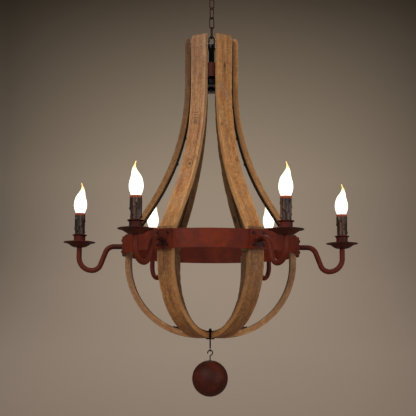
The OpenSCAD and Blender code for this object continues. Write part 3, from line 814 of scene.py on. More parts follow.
def lathe(
    profile: Sequence[Point], steps: int, bend: Callable[[float], Point] | None = None,
    wobble: Callable[[float, float], float] | None = None,
) -> Any:
    """Turns a profile round the Z axis.

    Args:
        profile: points of radius and height; a radius of 0 closes an end.
        steps: number of facets round.
        bend: sideways shift of each height.
        wobble: change of radius by angle and height.

    Returns:
        A bmesh of the closed skin.
    """
    made = bmesh.new()
    rows = []
    for radius, z in profile:
        centre = bend(z) if bend else (0.0, 0.0)
        if radius < TINY:
            rows.append([made.verts.new((*centre, z))])
        else:
            rows.append(ring(made, radius, z, steps, centre, wobble))
    for low, high in zip(rows, rows[1:]):
        bridge(made, low, high)
    if len(rows[0]) > 1 and len(rows[-1]) > 1:
        bridge(made, rows[-1], rows[0])
    bmesh.ops.recalc_face_normals(made, faces=made.faces)
    return made


# Staves


CHIME_ROWS, NECK_ROWS, FLARE_ROWS, FOOT_ROWS, LAP_ROWS, BELLY_ROWS = 6, 27, 75, 30, 10, 80
FOOT_BREAK = 0.8
WIDE_STEPS, TALL_STEPS = 22, 8
UPPER_SEED, LOWER_SEED, LOWER_START = 2.3, 3.1, 20
# the last mark holds painted shade together with some board tone
MARKS = ("worn", "end_grain", "bleached", "darkened")


@dataclass
class Staves:
    """The twelve barrel staves of the cage, with eased, worn edges and their bent grain.

    Sizes are the frame's. Wear fades over corner_reach from an edge and over end_reach from an end.
    The back, up to back_share of the thickness, is darkened by inside: painted shade on the backs, also
    standing for the wine stain of barrel staves. face_girth is where the face starts round the unrolled
    section.
    Sawn_sides is how pale the edges are, spoke by spoke. A tint is how bleached a stave is and how much
    painted shade and board tone darken it, each at its top and its foot. A scar is a kind, a spoke,
    the distances from an upper stave's top and middle line, and a size.
    """

    thick: float = 16.0
    top_width: float = 46.0
    ring_width: float = 45.0
    foot_width: float = 44.0
    top_r: float = 74.0
    top_z: float = 580.0
    flare_z: float = 440.0
    flare_r: float = 600.0
    chime: float = 6.0
    chime_len: float = 13.0
    belly_r: float = 200.0
    belly_z: float = -44.0
    lower_out: float = 229.40
    lower_top: float = 32.0
    lap: float = 7.0
    lap_z: float = -6.0
    lap_step: float = 0.2
    hub_r: float = 40.2
    foot_tip: float = 4.0
    ease: float = 1.6
    back_shade_and_stain: float = 0.85
    face_girth: float = 59.57
    corner_reach: float = 4.5
    end_reach: float = 3.0
    end_ease: float = 0.9
    back_share: float = 0.3
    sawn_sides: tuple[float, ...] = (0.3, 0.3, 0.3, 0.0, 0.6, 0.6)
    # bleaching and darkening of each stave at top and foot; the darkening is painted shade, partly board
    # tone, and a negative value paints it lighter
    upper_tone_and_shade: tuple[ToneAndShade, ...] = (
        ((0.0, 0.0), (0.15, 0.35)), ((0.2, 0.1), (0.6, 0.6)), ((0.2, 0.1), (0.6, 0.6)),
        ((0.0, 0.0), (1.0, 0.45)), ((0.35, 0.0), (0.5, -0.12)), ((0.0, 0.0), (0.46, 0.0)))
    lower_tone_and_shade: tuple[ToneAndShade, ...] = (
        ((0.3, 0.1), (0.5, 0.2)), ((0.2, 0.2), (0.55, 0.4)), ((0.2, 0.2), (0.55, 0.4)),
        ((0.3, 0.1), (0.62, 0.1)), ((0.1, 0.0), (0.0, -0.1)), ((0.1, 0.0), (0.66, 0.2)))
    scars: tuple[tuple[Scar, int, float, float, float], ...] = (
        (Scar.CUTS, 5, 232, -1, 9), (Scar.STAIN, 5, 250, 0, 8), (Scar.KNOT, 5, 380, 4, 9),
        (Scar.KNOT, 5, 358, 17, 4), (Scar.STAIN, 6, 262, -17, 6), (Scar.KNOT, 6, 366, 15, 5),
        (Scar.STAIN, 6, 330, 10, 4), (Scar.KNOT, 4, 300, 0, 5), (Scar.KNOT, 1, 430, -3, 6),
        (Scar.KNOT, 2, 250, 6, 6), (Scar.STAIN, 3, 410, -4, 9))

    def shift(self, seed: float) -> Point:
        """Place of a stave's grain on the oak's sheet, along and across, in metres."""
        return seed * 1.37, seed * 1.37 * 0.3

    def oaks(self) -> tuple[Any, Any]:
        """Makes both kinds of oak, the upper one with its scars.

        Returns:
            The materials of the upper and the lower staves.
        """
        middle = self.face_girth + self.ring_width / 2 - self.ease
        scars = []
        for kind, index, along, side, size in self.scars:
            u, v = self.shift(index * UPPER_SEED)
            scars.append((kind, along * MM + u, (middle - side) * MM + v, size * MM))
        upper = tones("d0a36d ab7643 74492c 33200f 8f4f2a 8d7660")
        lower = tones("c8955a 96653b 5f3e25 281a10 7c4526 7a6854")
        return (
            WeatheredOak("upper oak", *upper, Grain.SAWN, tuple(scars)).material(),
            WeatheredOak("lower oak", *lower, Grain.STAINED).material(),
        )

    def flare(self) -> float:
        """Works out the slope of the straight foot from the flare's radius and the lap.

        Returns:
            The slope, in radians.
        """
        high = self.flare_z - self.lower_top
        reach = self.flare_r - (self.lower_out - self.lap - self.top_r)
        return math.atan2(high, reach) - math.acos(self.flare_r / math.hypot(high, reach))

    def upper_sides(self) -> Sides:
        """Draws an upper stave from the top down.

        Returns:
            Matching points of its back and of its face.
        """
        back, face = [], []
        inner, outer = self.top_r - self.thick, self.top_r
        for t in shares(CHIME_ROWS, 0):
            z = self.top_z - self.chime_len * t
            back.append((inner, z))
            face.append((outer - self.chime * (1 - t), z))
        start = self.top_z - self.chime_len
        for t in shares(NECK_ROWS):
            z = start + (self.flare_z - start) * t
            back.append((inner, z))
            face.append((outer, z))
        slope, centre = self.flare(), self.top_r + self.flare_r
        for t in shares(FLARE_ROWS):
            a = slope * t
            for side, r in ((back, self.flare_r + self.thick), (face, self.flare_r)):
                side.append((centre - r * math.cos(a), self.flare_z - r * math.sin(a)))
        seat = self.lower_out - self.lap
        low = self.lower_top - (self.thick / math.cos(slope) - self.foot_tip) / math.tan(slope)
        (bx, bz), (fx, fz) = back[-1], face[-1]
        for t in shares(FOOT_ROWS):
            back.append((bx + (seat - self.foot_tip - bx) * t, bz + (low - bz) * t))
            if t < FOOT_BREAK:
                done = t / FOOT_BREAK
                face.append((fx + (seat - fx) * done, fz + (self.lower_top - fz) * done))
            else:
                done = (t - FOOT_BREAK) / (1 - FOOT_BREAK)
                face.append((seat, self.lower_top + (low - self.lower_top) * done))
        return back, face

    def lower_sides(self) -> Sides:
        """Draws a lower stave from the top down.

        Returns:
            Matching points of its back and of its face.
        """
        back, face = [], []
        thinned = (self.lower_top, self.lap_z, self.lap, 0.0)
        for high, low, deep, step in (thinned, (self.lap_z, self.belly_z, self.thick, self.lap_step)):
            for t in shares(LAP_ROWS, 0):
                z = high + (low - high) * t
                back.append((self.lower_out - deep, z))
                face.append((self.lower_out, z - step if t == 0 else z))
        centre = self.lower_out - self.belly_r
        for side, r in ((back, self.belly_r - self.thick), (face, self.belly_r)):
            last = math.acos((self.hub_r - centre) / r)
            for t in shares(BELLY_ROWS):
                side.append((centre + r * math.cos(last * t), self.belly_z - r * math.sin(last * t)))
        return back, face

    def section(self, half: float) -> list[tuple[float, float, float]]:
        """Points round a stave's section with eased corners.

        Args:
            half: half of its width.

        Returns:
            Side, share of the thickness from back to face, and how close to a corner, for each point.
        """
        ease, points = self.ease, []
        wide, tall = 2 * (half - ease), self.thick - 2 * ease
        runs = ((-1, 0, 1, 0, wide, WIDE_STEPS), (1, 0, 0, 1, tall, TALL_STEPS),
                (1, 1, -1, 0, wide, WIDE_STEPS), (-1, 1, 0, -1, tall, TALL_STEPS))
        for kx, ky, dx, dy, length, count in runs:
            x0 = kx * (half - ease) if dx else kx * half
            y0 = (ease if dy >= 0 else self.thick - ease) if dy else ky * self.thick
            for share in shares(count, 0):
                near = max(0.0, 1 - min(share, 1 - share) * length / self.corner_reach)
                points.append((x0 + dx * length * share, (y0 + dy * length * share) / self.thick, near))
            end_x, end_y = x0 + dx * length, y0 + dy * length
            cx = end_x + (0 if dx else -kx * ease)
            cy = end_y + (0 if dy else (ease if ky == 0 else -ease))
            first = math.atan2(end_y - cy, end_x - cx)
            for k in (1, 2):
                a = first + math.pi / 2 * k / 3
                points.append((cx + ease * math.cos(a), (cy + ease * math.sin(a)) / self.thick, 1.0))
        return points

    def wear(self, seed: float, along: float, side: float, share: float, corner: float) -> Point:
        """Dents of a stave's surface.

        Args:
            seed: number that sets this stave apart.
            along: distance from its top.
            side: distance from its middle line.
            share: share of the thickness, 0 on the back.
            corner: 1 on a corner, 0 in a face.

        Returns:
            Depth in millimetres and how worn the place looks.
        """
        broad = noise.noise(Vector((along * 0.011, side * 0.05, seed)))
        chip = max(0.0, noise.noise(Vector((along * 0.06, side * 0.1 + share, seed + 40))) - 0.12)
        groove = max(0.0, noise.noise(Vector((along * 0.006, side * 0.5, seed + 90))) - 0.28)
        depth = 0.22 + 0.3 * broad + corner * (0.25 + 2.6 * chip) + 1.6 * groove * (1 - corner)
        return max(0.02, depth), min(1.0, corner * (0.35 + 2.2 * chip))

    def lay_out(self, made: Any, rows: list[list[Any]], lengths: list[float], seed: float) -> None:
        """Gives the skin and the ends of a stave their places on the oak's sheet.

        Args:
            made: the bmesh, with its quads in the rows' order.
            rows: its rings of vertices.
            lengths: distance of each ring from the top.
            seed: number that sets this stave apart.
        """
        sheet = made.loops.layers.uv["surface"]
        u, v = self.shift(seed)
        marks = self.section(self.ring_width / 2)
        place = [0.0]
        for one, two in zip(marks, (*marks[1:], marks[0])):
            place.append(place[-1] + math.hypot(two[0] - one[0], (two[1] - one[1]) * self.thick))
        for number, quad in enumerate(made.faces):
            at, k = divmod(number, len(marks))
            corners = ((at, k), (at, k + 1), (at + 1, k + 1), (at + 1, k))
            for loop, (row, col) in zip(quad.loops, corners):
                loop[sheet].uv = (lengths[row] * MM + u, place[col] * MM + v)
        for row in (rows[0][::-1], rows[-1]):
            for loop in made.faces.new(row).loops:
                co = loop.vert.co
                loop[sheet].uv = (co.y * MM + u, (co.x + co.z) * MM)

    def build(self, sides: Sides, ends: Point, seed: float, index: int, tone_and_shade: ToneAndShade) -> Any:
        """Lofts one stave.

        Args:
            sides: matching points of its back and its face.
            ends: its widths at the top and the foot.
            seed: number that sets this stave apart.
            index: its spoke.
            tone_and_shade: how bleached it is, and how much painted shade and board tone darken it.

        Returns:
            The bmesh with its UV map and marks.
        """
        made = bmesh.new()
        made.loops.layers.uv.new("surface")
        for name in MARKS:
            made.verts.layers.float.new(name)
        worn, end_grain, bleached, darkened = (made.verts.layers.float[name] for name in MARKS)
        spine = [((a + c) / 2, (b + d) / 2) for (a, b), (c, d) in zip(*sides)]
        lengths = [0.0]
        for one, two in zip(spine, spine[1:]):
            lengths.append(lengths[-1] + math.dist(one, two))
        total, rows = lengths[-1], []
        for along, inner, outer in zip(lengths, *sides):
            t = along / total
            half = (ends[0] + (ends[1] - ends[0]) * t) / 2
            rim = t in (0.0, 1.0)
            near_end = max(0.0, 1 - min(along, total - along) / self.end_reach)
            row = []
            for side, share, corner in self.section(half):
                depth, look = self.wear(seed, along, side, share, max(corner, near_end))
                side_in = side * (1 - depth * (abs(side) / half) ** 6 / half)
                if rim:
                    side_in *= 1 - self.end_ease / half
                pull = depth / self.thick
                share_in = min(1 - pull, max(pull * 0.3, share))
                if abs(side) > half - TOUCH and share > self.back_share:
                    look = max(look, self.sawn_sides[index - 1])
                r, z = (near + (far - near) * share_in for near, far in zip(inner, outer))
                vert = made.verts.new((r, side_in, z))
                vert[worn], vert[end_grain] = look, float(rim)
                vert[bleached], dark = (low + (high - low) * t for low, high in tone_and_shade)
                # painted shade on each stave, strongest on its back, which also stands for the wine stain of
                # barrel staves
                vert[darkened] = max(dark, self.back_shade_and_stain * (1 - min(1.0, share / self.back_share)))
                row.append(vert)
            rows.append(row)
        for one, two in zip(rows, rows[1:]):
            bridge(made, one, two)
        made.faces.ensure_lookup_table()
        self.lay_out(made, rows, lengths, seed)
        bmesh.ops.recalc_face_normals(made, faces=made.faces)
        return made

    def make(self) -> None:
        """Builds and places all twelve."""
        upper, lower = self.oaks()
        top, middle, foot = self.top_width, self.ring_width, self.foot_width
        kinds = (
            ("upper", self.upper_sides(), (top, middle), self.upper_tone_and_shade, "old_oak", upper),
            ("lower", self.lower_sides(), (middle, foot), self.lower_tone_and_shade, "worn_oak", lower),
        )
        for i in range(1, SPOKES + 1):
            seeds = (i * UPPER_SEED, i * LOWER_SEED + LOWER_START)
            for seed, (kind, sides, ends, tone_and_shade_rows, slot, oak) in zip(seeds, kinds):
                made = self.build(sides, ends, seed, i, tone_and_shade_rows[i - 1])
                node = f"{kind}_stave_{i}"
                add_piece(made, f"{node}_oak", spoke_place(i), 50, BODY, slot, oak, node)


# Candles


# Points of the cup's outline: past its radius, and up from its foot or down from its rim
CUP_SIDE = ((-4, -0.3), (-3, 0.2), (-2.6, 1.4), (-3.2, 2.4), (-1.4, 4.2), (0, 6.2), (0, 9), (-0.5, 9.5),
            (-0.5, 10.2), (0, 10.8), (0, 26), (0.6, 28))
CUP_RIM = ((-1.2, -2.2), (-0.3, -1.9), (0, -1.2), (-0.2, -0.4), (-1.2, 0))
WAX_RUNS, WAX_STEPS, WAX_PITCH = 15, 96, 1.5
WAX_WIDTHS, WAX_REACHES, WAX_DEPTHS = (0.1, 0.19), (18, 84), (0.8, 2.0)
GLASS_ROWS, GLASS_STEPS, CAP_STEPS = 46, 48, 40
THREADS, THREAD_ROWS = 6, 8


@dataclass
class Candles:
    """Drip pans, cups, sleeves with wax runs, and bulbs, with sizes as in the frame."""

    iron: Any
    radius: float = 356.0
    pan_d: float = 86.0
    pan_z: float = -2.0
    pan_depth: float = 14.0
    pan_flat: float = 13.5
    pan_hole: float = 10.4
    pan_rows: int = 22
    rim_roll: float = 1.15
    sheet: float = 1.6
    cup_d: float = 31.0
    cup_top: float = 32.1
    cup_foot: float = -0.3
    cup_floor: float = 1.6
    cup_hole: float = 10.6
    flange_d: float = 40.0
    sleeve_d: float = 26.0
    sleeve_wall: float = 1.0
    sleeve_bottom: float = 1.7
    sleeve_top: float = 90.65
    bulb_z: float = 76.65
    bulb_h: float = 98.0
    bulb_d: float = 35.0
    belly: float = 0.37
    cap_d: float = 13.8
    cap_len: float = 25.0
    curl: float = 5.0
    curl_turn: float = 150.0
    tips: tuple[float, ...] = (0, 180, 0, 0, 180, 0)
    steps: int = 72

    def pan(self, i: int) -> None:
        """Spins a pan with a rolled rim.

        Args:
            i: its spoke.
        """
        rim, rise = self.pan_d / 2 - 1.2, self.pan_depth - self.sheet
        hole = self.pan_hole / 2
        bottom, top = [(hole, self.pan_z)], [(hole, self.pan_z + self.sheet)]
        for t in shares(self.pan_rows, 0):
            r = self.pan_flat + (rim - self.pan_flat) * t
            z = self.pan_z + rise * (1 - math.cos(math.pi * t**0.9)) / 2
            bottom.append((r, z + 0.05))
            top.append((r, z + self.sheet - 0.1))
        middle = self.pan_z + rise + self.sheet / 2
        roll = [(rim + self.rim_roll * math.sin(a), middle - math.cos(a)) for a in degrees(20, 161, 20)]
        made = lathe([*bottom, *roll, *reversed(top)], self.steps)
        place = spoke_place(i, self.radius)
        add_piece(made, f"drip_pan_{i}_spun", place, 45, BODY, "dark_rust_iron", self.iron, f"drip_pan_{i}")

    def cups(self) -> None:
        """All six cups: turned, with a bead at the foot and a thin flange."""
        whole = bmesh.new()
        r, hole, bore = self.cup_d / 2, self.cup_hole / 2, self.sleeve_d / 2 + 0.3
        top, floor = self.cup_top, self.cup_floor
        profile = [(hole, self.cup_foot)]
        profile += [(r + past, z) for past, z in CUP_SIDE]
        profile += [(self.flange_d / 2 + past, top + z) for past, z in CUP_RIM]
        profile += [(bore + 0.6, top), (bore, top - 0.4), (bore, floor), (hole, floor)]
        for i in range(1, SPOKES + 1):
            made = lathe(profile, self.steps)
            made.transform(spoke_place(i, self.radius))
            part = to_mesh(made, "part")
            whole.from_mesh(part)
            bpy.data.meshes.remove(part)
        node = "candle_cups"
        add_piece(whole, f"{node}_turned", Matrix(), 35, BODY, "dark_rust_iron", self.iron, node)

    def sleeve(self, i: int, resin: Any) -> None:
        """Casts a sleeve whose wax has run down in tongues of unlike lengths.

        Args:
            i: its spoke.
            resin: its material.
        """
        rng = random.Random(100 + i)
        runs = []
        for k in range(WAX_RUNS):
            turn = 2 * math.pi * (k + rng.uniform(-0.3, 0.3)) / WAX_RUNS
            width, foot = rng.uniform(*WAX_WIDTHS), self.sleeve_top - rng.uniform(*WAX_REACHES) ** 0.9
            runs.append((turn, width, foot, rng.uniform(*WAX_DEPTHS)))
        low = self.cup_top + 1.6

        def wobble(turn: float, z: float) -> float:
            """Thickness of the wax at one place.

            Args:
                turn: angle round the sleeve.
                z: height.

            Returns:
                What it adds to the sleeve's radius.
            """
            add = 0.25 * noise.noise(Vector((math.cos(turn) * 3, math.sin(turn) * 3, z * 0.05 + i * 7)))
            for centre, width, foot, thick in runs:
                off = (turn - centre + math.pi) % (2 * math.pi) - math.pi
                beyond = (z - max(foot, low)) / 3.0
                if beyond <= -1:
                    continue
                drop = math.exp(-((beyond - 0.6) ** 2) / 1.6) * 0.8
                body = min(1.0, max(0.0, beyond + 1)) * (1 + drop)
                add += thick * body * math.exp(-((off / width) ** 2))
            return add if z > low - 1 else min(add, 0.0)

        r, top, bottom = self.sleeve_d / 2, self.sleeve_top, self.sleeve_bottom
        outer = [(r, z) for z in (bottom, 10, 20, 30)]
        z = low - 1.2
        while z < top - 2:
            outer.append((r, z))
            z += WAX_PITCH
        outer += [(r + 0.1, top - 1.2), (r - 0.2, top - 0.3), (r - 0.5, top)]
        made = lathe(outer, WAX_STEPS, wobble=wobble)
        closing = []
        for face in made.faces:
            heights = [vert.co.z for vert in face.verts]
            if max(heights) - min(heights) > (top - bottom) / 2:
                closing.append(face)
        bmesh.ops.delete(made, geom=closing, context="FACES_ONLY")
        first, last = ([v for v in made.verts if abs(v.co.z - z) < TOUCH] for z in (bottom, top))
        bore = r - self.sleeve_wall
        inner = ((bore + 0.05, top - 0.4), (bore, top - 2), (bore, bottom))
        chain = [last, *(ring(made, radius, height, WAX_STEPS) for radius, height in inner), first]
        for one, two in zip(chain, chain[1:]):
            bridge(made, one, two)
        bmesh.ops.recalc_face_normals(made, faces=made.faces)
        node = f"candle_sleeve_{i}"
        add_piece(made, f"{node}_wax", spoke_place(i, self.radius), 60, BODY, "wax_sleeve", resin, node)

    def glass_radius(self, t: float) -> float:
        """Radius of a bulb's glass.

        Args:
            t: share of its height.

        Returns:
            The radius.
        """
        belly, half = self.belly, self.bulb_d / 2
        if t < belly:
            neck = self.cap_d / 2 + 0.6
            return neck + (half - neck) * math.sin(math.pi / 2 * t / belly) ** 1.6
        return half * max(math.cos(math.pi / 2 * (t - belly) / (1 - belly)) ** 1.6, 0.06)

    def bulb(self, i: int, glass: Any, brass: Any) -> None:
        """Blows a flame-tip bulb with its curled tip, and turns its screw cap.

        Args:
            i: its spoke.
            glass: the glass's material.
            brass: the cap's material.
        """
        straight = self.belly + 0.2

        def bend(z: float) -> Point:
            """Sideways shift of the glass.

            Args:
                z: height.

            Returns:
                The shift along X and Y.
            """
            t = (z - self.bulb_z) / self.bulb_h
            if t < straight:
                return 0.0, 0.0
            bent = math.radians(self.curl_turn * (t - straight) / (1 - straight))
            shift = self.curl * math.sin(bent) ** 2
            turn = math.radians(self.tips[i - 1]) - bearing(i)
            return shift * math.cos(turn), shift * math.sin(turn)

        place, body, slot = spoke_place(i, self.radius), f"light_{i}", "opal_glass"
        outline = [(0.0, self.bulb_z)]
        outline += [(self.glass_radius(t), self.bulb_z + self.bulb_h * t) for t in shares(GLASS_ROWS, 0)]
        outline[-1] = (0.7, self.bulb_z + self.bulb_h)
        outline.append((0.0, self.bulb_z + self.bulb_h + 0.4))
        made = lathe(outline, GLASS_STEPS, bend=bend)
        add_piece(made, f"bulb_{i}_glass", place, 60, body, slot, glass, f"bulb_{i}")
        r, foot = self.cap_d / 2, self.bulb_z - self.cap_len
        cap = [(0.0, foot), (3.2, foot), (3.4, foot + 1.4), (r - 1.4, foot + 3.2)]
        low, high = foot + 4, self.bulb_z - 2
        for k in range(THREADS * THREAD_ROWS + 1):
            z = low + (high - low) * k / (THREADS * THREAD_ROWS)
            cap.append((r - 0.35 + 0.33 * math.cos(2 * math.pi * k / THREAD_ROWS), z))
        cap += [(r, self.bulb_z - 1), (r, self.bulb_z - 0.05), (0.0, self.bulb_z - 0.05)]
        add_piece(lathe(cap, CAP_STEPS), f"bulb_{i}_cap", place, 50, body, slot, brass)

    def make(self) -> None:
        """Builds all six candles."""
        heights = (self.sleeve_top, self.bulb_z, self.bulb_z + self.bulb_h)
        top, low, high = ((RING_Z + z) * MM for z in heights)
        # the third colour is the bulb's glow, painted on the sleeve's lip
        resin = BurntResin("burnt resin", *tones("1e120c 593c2c 9a4526"), top).material()
        glass = LitGlass("lit glass", *tones("fffbf0 e4c06c"), low, high, 1.35).material()
        brass = PlainCoat("plated brass", *tones("c9a25a a37c3c"), 0.3, 1.0).material()
        self.cups()
        for i in range(1, SPOKES + 1):
            self.pan(i)
            self.sleeve(i, resin)
            self.bulb(i, glass, brass)


# Iron work


@dataclass
class PlateBolts:
    """Dome-headed bolts of the arms' wall plates, set out by a node tree."""

    band_r: float = 235.0
    plate_out: float = 238.75
    spacing: float = 30.0
    head_d: float = 8.5
    head_h: float = 2.8
    washer: float = 0.18
    facets: int = 20

    def head(self) -> Any:
        """Turns one low-domed head with a washer face, standing on z = 0.

        Returns:
            Its mesh, in metres.
        """
        r, h = self.head_d / 2 * MM, self.head_h * MM
        low, dome = h * self.washer, h * (1 - self.washer)
        curve = [(0.0, 0.0), (r, 0.0), (r, low)]
        curve += [(r * math.cos(a), low + dome * math.sin(a)) for a in degrees(15, 90, 15)]
        return shade_smooth(to_mesh(lathe([*curve, (0.0, h)], self.facets), "bolt_head"))

    def places(self) -> Any:
        """Marks where the bolts go.

        Returns:
            A mesh of one point for each bolt, with its outward direction as an attribute.
        """
        turn = math.asin(self.spacing / 2 / self.band_r)
        points, outs = [], []
        for i in range(1, SPOKES + 1):
            for side in (-1, 1):
                a = bearing(i) + side * turn
                out = (math.cos(a), math.sin(a), 0.0)
                for row in (-1, 1):
                    z = (RING_Z + row * self.spacing / 2) * MM
                    points.append((self.plate_out * out[0] * MM, self.plate_out * out[1] * MM, z))
                    outs.append(out)
        mesh = bpy.data.meshes.new("bolt_places")
        mesh.from_pydata(points, [], [])
        layer = mesh.attributes.new("outward", "FLOAT_VECTOR", "POINT")
        for at, out in enumerate(outs):
            layer.data[at].vector = out
        return mesh

    def tree(self, head: Any, material: Any) -> Any:
        """Builds the node tree that sets a head on each point, turned outward and round itself.

        Args:
            head: the head's object.
            material: the bolts' material.

        Returns:
            The node tree.
        """
        tree = bpy.data.node_groups.new("bolt heads", "GeometryNodeTree")
        tree.interface.new_socket("Geometry", in_out="INPUT", socket_type="NodeSocketGeometry")
        size = tree.interface.new_socket("Head Scale", in_out="INPUT", socket_type="NodeSocketFloat")
        size.default_value = 1.0
        tree.interface.new_socket("Geometry", in_out="OUTPUT", socket_type="NodeSocketGeometry")

        def add(kind: str, settings: dict | None = None, values: dict | None = None) -> Any:
            """Adds a node.

            Args:
                kind: the node's type.
                settings: its own settings.
                values: values of its inputs, by name or number.

            Returns:
                The node.
            """
            made = tree.nodes.new(kind)
            for key, value in (settings or {}).items():
                setattr(made, key, value)
            for key, value in (values or {}).items():
                made.inputs[key].default_value = value
            return made

        source, sink = add("NodeGroupInput"), add("NodeGroupOutput")
        out = add("GeometryNodeInputNamedAttribute", {"data_type": "FLOAT_VECTOR"}, {"Name": "outward"})
        aim = add("FunctionNodeAlignRotationToVector", {"axis": "Z"})
        chance = add("FunctionNodeRandomValue", {"data_type": "FLOAT"}, {"Seed": 7, 2: 0.0, 3: 6.283})
        spin = add("FunctionNodeAxisAngleToRotation", {}, {"Axis": (0, 0, 1)})
        turn = add("FunctionNodeRotateRotation", {"rotation_space": "LOCAL"})
        part = add("GeometryNodeObjectInfo", {}, {"Object": head})
        place = add("GeometryNodeInstanceOnPoints")
        real = add("GeometryNodeRealizeInstances")
        dress = add("GeometryNodeSetMaterial", {}, {"Material": material})
        for start, output, end, entry in (
            (out, 0, aim, "Vector"), (chance, 1, spin, "Angle"), (aim, 0, turn, "Rotation"),
            (spin, 0, turn, "Rotate By"), (source, "Geometry", place, "Points"),
            (part, "Geometry", place, "Instance"), (turn, 0, place, "Rotation"),
            (source, "Head Scale", place, "Scale"), (place, 0, real, 0), (real, 0, dress, "Geometry"),
            (dress, 0, sink, "Geometry"),
        ):
            tree.links.new(start.outputs[output], end.inputs[entry])
        return tree

    def make(self, material: Any) -> None:
        """Builds all the bolts as one plain mesh.

        Args:
            material: their material.
        """
        head = in_scene("bolt_head", self.head())
        carrier = in_scene("bolt_carrier", self.places())
        modifier = carrier.modifiers.new("heads", "NODES")
        modifier.node_group = self.tree(head, material)
        for item in modifier.node_group.interface.items_tree:
            if item.name == "Head Scale":
                modifier[item.identifier] = 1.0
        bpy.context.view_layer.update()
        graph = bpy.context.evaluated_depsgraph_get()
        mesh = bpy.data.meshes.new_from_object(carrier.evaluated_get(graph))
        carrier.modifiers.clear()
        for part in (carrier, head):
            bpy.data.objects.remove(part)
        new_piece("plate_bolt_heads", mesh, BODY, "black_iron", material, "plate_bolts")


@dataclass
class Ball:
    """The turned wooden ball, a little flat where the hook goes in."""

    diameter: float = 95.0
    top: float = -302.0
    rows: int = 64
    steps: int = 96

    def make(self, material: Any) -> None:
        """Turns the ball.

        Args:
            material: its material.
        """
        r = self.diameter / 2
        outline = [(0.0, -r)]
        outline += [(r * math.sin(math.pi * t), -r * math.cos(math.pi * t)) for t in shares(self.rows)[:-1]]
        outline[-1] = (3.4, outline[-1][1])
        outline += [(2.2, r - 0.5), (1.7, r - 1.4), (0.0, r - 1.6)]
        made = lathe(outline, self.steps, wobble=lambda turn, z: -0.06 - 0.05 * math.sin(z * 1.9))
        place = Matrix.Translation((0, 0, self.top - r + RING_Z))
        add_piece(made, "wooden_ball_turned", place, 70, "ball", "ball_wood", material, "wooden_ball")


def frame_finishes() -> dict[str, Any]:
    """Makes the materials of the frame's own nodes.

    Returns:
        The materials by material slot.
    """
    iron = AntiquedIron("rust iron", *tones("67220e 4c1709 7d3010"), rough=0.62, specks=0.3, arms=0.7)
    dark = AntiquedIron("dark rust iron", *tones("4c160d 280c07 5e2417"), rough=0.58)
    finishes = {
        "rust_iron": iron,
        "dark_rust_iron": dark,
        "black_iron": BlackLacquer("black lacquer", *tones("0a0808 181312 2e140d")),
        "porcelain": PlainCoat("porcelain", *tones("e6e3d8 d8d3c4"), 0.25),
        "lead_cover": PlainCoat("lead sheath", *tones("17130f 2a231d"), 0.45),
        "ball_wood": StainedBall("stained ball", *tones("4a1c10 32130b 60301e")),
    }
    return {slot: finish.material() for slot, finish in finishes.items()}


def dress(nodes: dict[str, Any], slots: dict[str, str], finishes: dict[str, Any]) -> None:
    """Gives every node of the frame the material of its slot.

    Args:
        nodes: the frame's objects by name.
        slots: the material slot of each node.
        finishes: the materials by slot.
    """
    for name, part in nodes.items():
        material = finishes.get(slots[name])
        if material is not None:
            for held in part.material_slots:
                held.material = material


# Stage


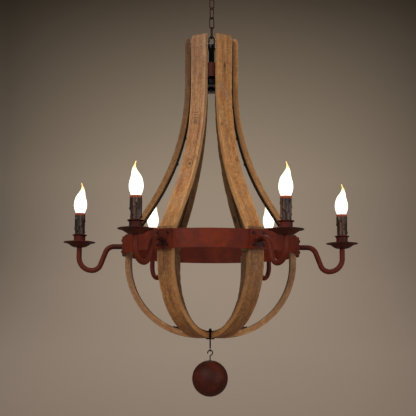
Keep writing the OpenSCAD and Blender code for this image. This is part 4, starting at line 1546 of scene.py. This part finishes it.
@dataclass
class Stage:
    """Floor, backdrop, soft lamps and the camera at the photograph's place."""

    distance: float = 2.353
    camera_z: float = -0.243
    pitch: float = 8.466
    roll: float = 0.0055
    focal_px: float = 872.0
    frame_px: float = 416.0
    axis_px: float = 210.9
    sensor: float = 36.0
    floor_z: float = -2.6
    sweep: float = 1.6
    reach: float = 12.0
    glow_half: float = 1.4

    def wall_paint(self) -> Any:
        """Paints light and shade on the backdrop, as behind the real chandelier: a painted pool of light in
        the middle, painted shade upward and to the sides.

        Returns:
            The material.
        """
        paint = Paint("backdrop paint", Roughness=0.9, Specular_IOR_Level=0.1)
        where = paint.place()
        side, _, height = paint.split(where)
        clouds = paint.noise(where, 0.8, 3, 0.5)
        level = (height * (1 / 3) + 0.5).held()
        # painted light: the greys fall off upward from a bright middle
        levels = (0.0, 0.14, 0.287, 0.447, 0.527, 0.67, 0.79, 0.96)
        greys = tones("b5a79a c8baac d0c1b2 cbbdad c9bba9 b1a493 968b7b 60574a")
        off = (side - 0.05) * (1 / self.glow_half)
        # painted shade towards the sides, leaving a painted pool of light in the middle
        painted_side_shade = (off * off * (level.over(0.0, 0.4) * 0.35 + 0.14)).maths("MINIMUM", 0.55)
        return paint.finish(paint.coats(
            paint.ramp(level, *zip(levels, greys)),
            (clouds * 0.12, srgb("a08c7c")),
            # painted shade at the upper left, then painted light at the lower right
            ((side * -0.3 * (level - 0.55).held()).held(), srgb("1c1610")),
            ((side * 0.09).held() * level.over(0.8, 0.5), srgb("c8b4a2")),
            (painted_side_shade, BLACK),
        ))

    def backdrop(self) -> None:
        """A pale floor that sweeps up into a warm wall."""
        made = bmesh.new()
        start, corner, sweep = 2.0, self.floor_z + self.sweep, self.sweep
        path = [(-9.0, self.floor_z), (start, self.floor_z)]
        path += [(start + sweep * math.sin(a), corner - sweep * math.cos(a)) for a in degrees(10, 91, 10)]
        path.append((start + sweep, 7.0))
        rows = [[made.verts.new((x, y, z)) for x in (-self.reach, self.reach)] for y, z in path]
        for one, two in zip(rows, rows[1:]):
            made.faces.new((one[0], one[1], two[1], two[0]))
        mesh = shade_smooth(to_mesh(made, "backdrop"))
        mesh.materials.append(self.wall_paint())
        in_scene("backdrop", mesh)

    def lamp(self, name: str, place: Colour, aim: Colour, size: float, power: float, colour: Colour) -> None:
        """Adds a square soft lamp that looks at a point.

        Args:
            name: the lamp's name.
            place: where it hangs.
            aim: the point.
            size: its side.
            power: its power, in watts.
            colour: its colour.
        """
        data = bpy.data.lights.new(name, "AREA")
        data.size, data.energy, data.color = size, power, colour
        made = in_scene(name, data)
        made.location = place
        made.rotation_euler = (Vector(aim) - Vector(place)).to_track_quat("-Z", "Y").to_euler()

    def camera(self) -> None:
        """The camera: level and turn measured from the photograph."""
        data = bpy.data.cameras.new("camera")
        data.sensor_width = self.sensor
        data.lens = self.sensor * self.focal_px / self.frame_px
        made = in_scene("camera", data)
        made.location = (0.0, -self.distance, RING_Z * MM + self.camera_z)
        yaw = math.atan((self.axis_px - self.frame_px / 2) / self.focal_px)
        turn = Matrix.Rotation(yaw, 4, "Z") @ Matrix.Rotation(math.radians(90 + self.pitch), 4, "X")
        made.rotation_euler = (turn @ Matrix.Rotation(self.roll, 4, "Z")).to_euler()
        bpy.context.scene.camera = made

    def make(self) -> None:
        """Sets the stage."""
        scene = bpy.context.scene
        scene.view_settings.view_transform = "Standard"
        world = bpy.data.worlds.new("room")
        world.use_nodes = True
        sky = world.node_tree.nodes["Background"].inputs
        sky[0].default_value = (0.82, 0.78, 0.74, 1)
        sky[1].default_value = 0.45
        scene.world = world
        self.backdrop()
        middle = (0.0, 0.0, RING_Z * MM + 0.1)
        for name, place, size, power, colour in (
            ("key", (-1.6, -2.6, 0.7), 1.4, 70, (1.0, 0.93, 0.85)),
            ("fill", (2.2, -2.0, -0.6), 1.8, 34, (1.0, 0.95, 0.9)),
            ("back", (0.4, 1.8, 0.9), 1.2, 26, (1.0, 0.92, 0.84)),
        ):
            self.lamp(name, place, middle, size, power, colour)
        self.camera()
        log.info("stage set")


def main() -> None:
    """Builds the dressed chandelier."""
    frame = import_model()
    slots = {row["node"]: row["material_slot"] for row in frame["record"]["subparts"]}
    finishes = frame_finishes()
    dress(frame["nodes"], slots, finishes)
    Stage().make()
    Staves().make()
    Candles(finishes["dark_rust_iron"]).make()
    PlateBolts().make(finishes["black_iron"])
    Ball().make(finishes["ball_wood"])


if __name__ == "__main__":
    main()
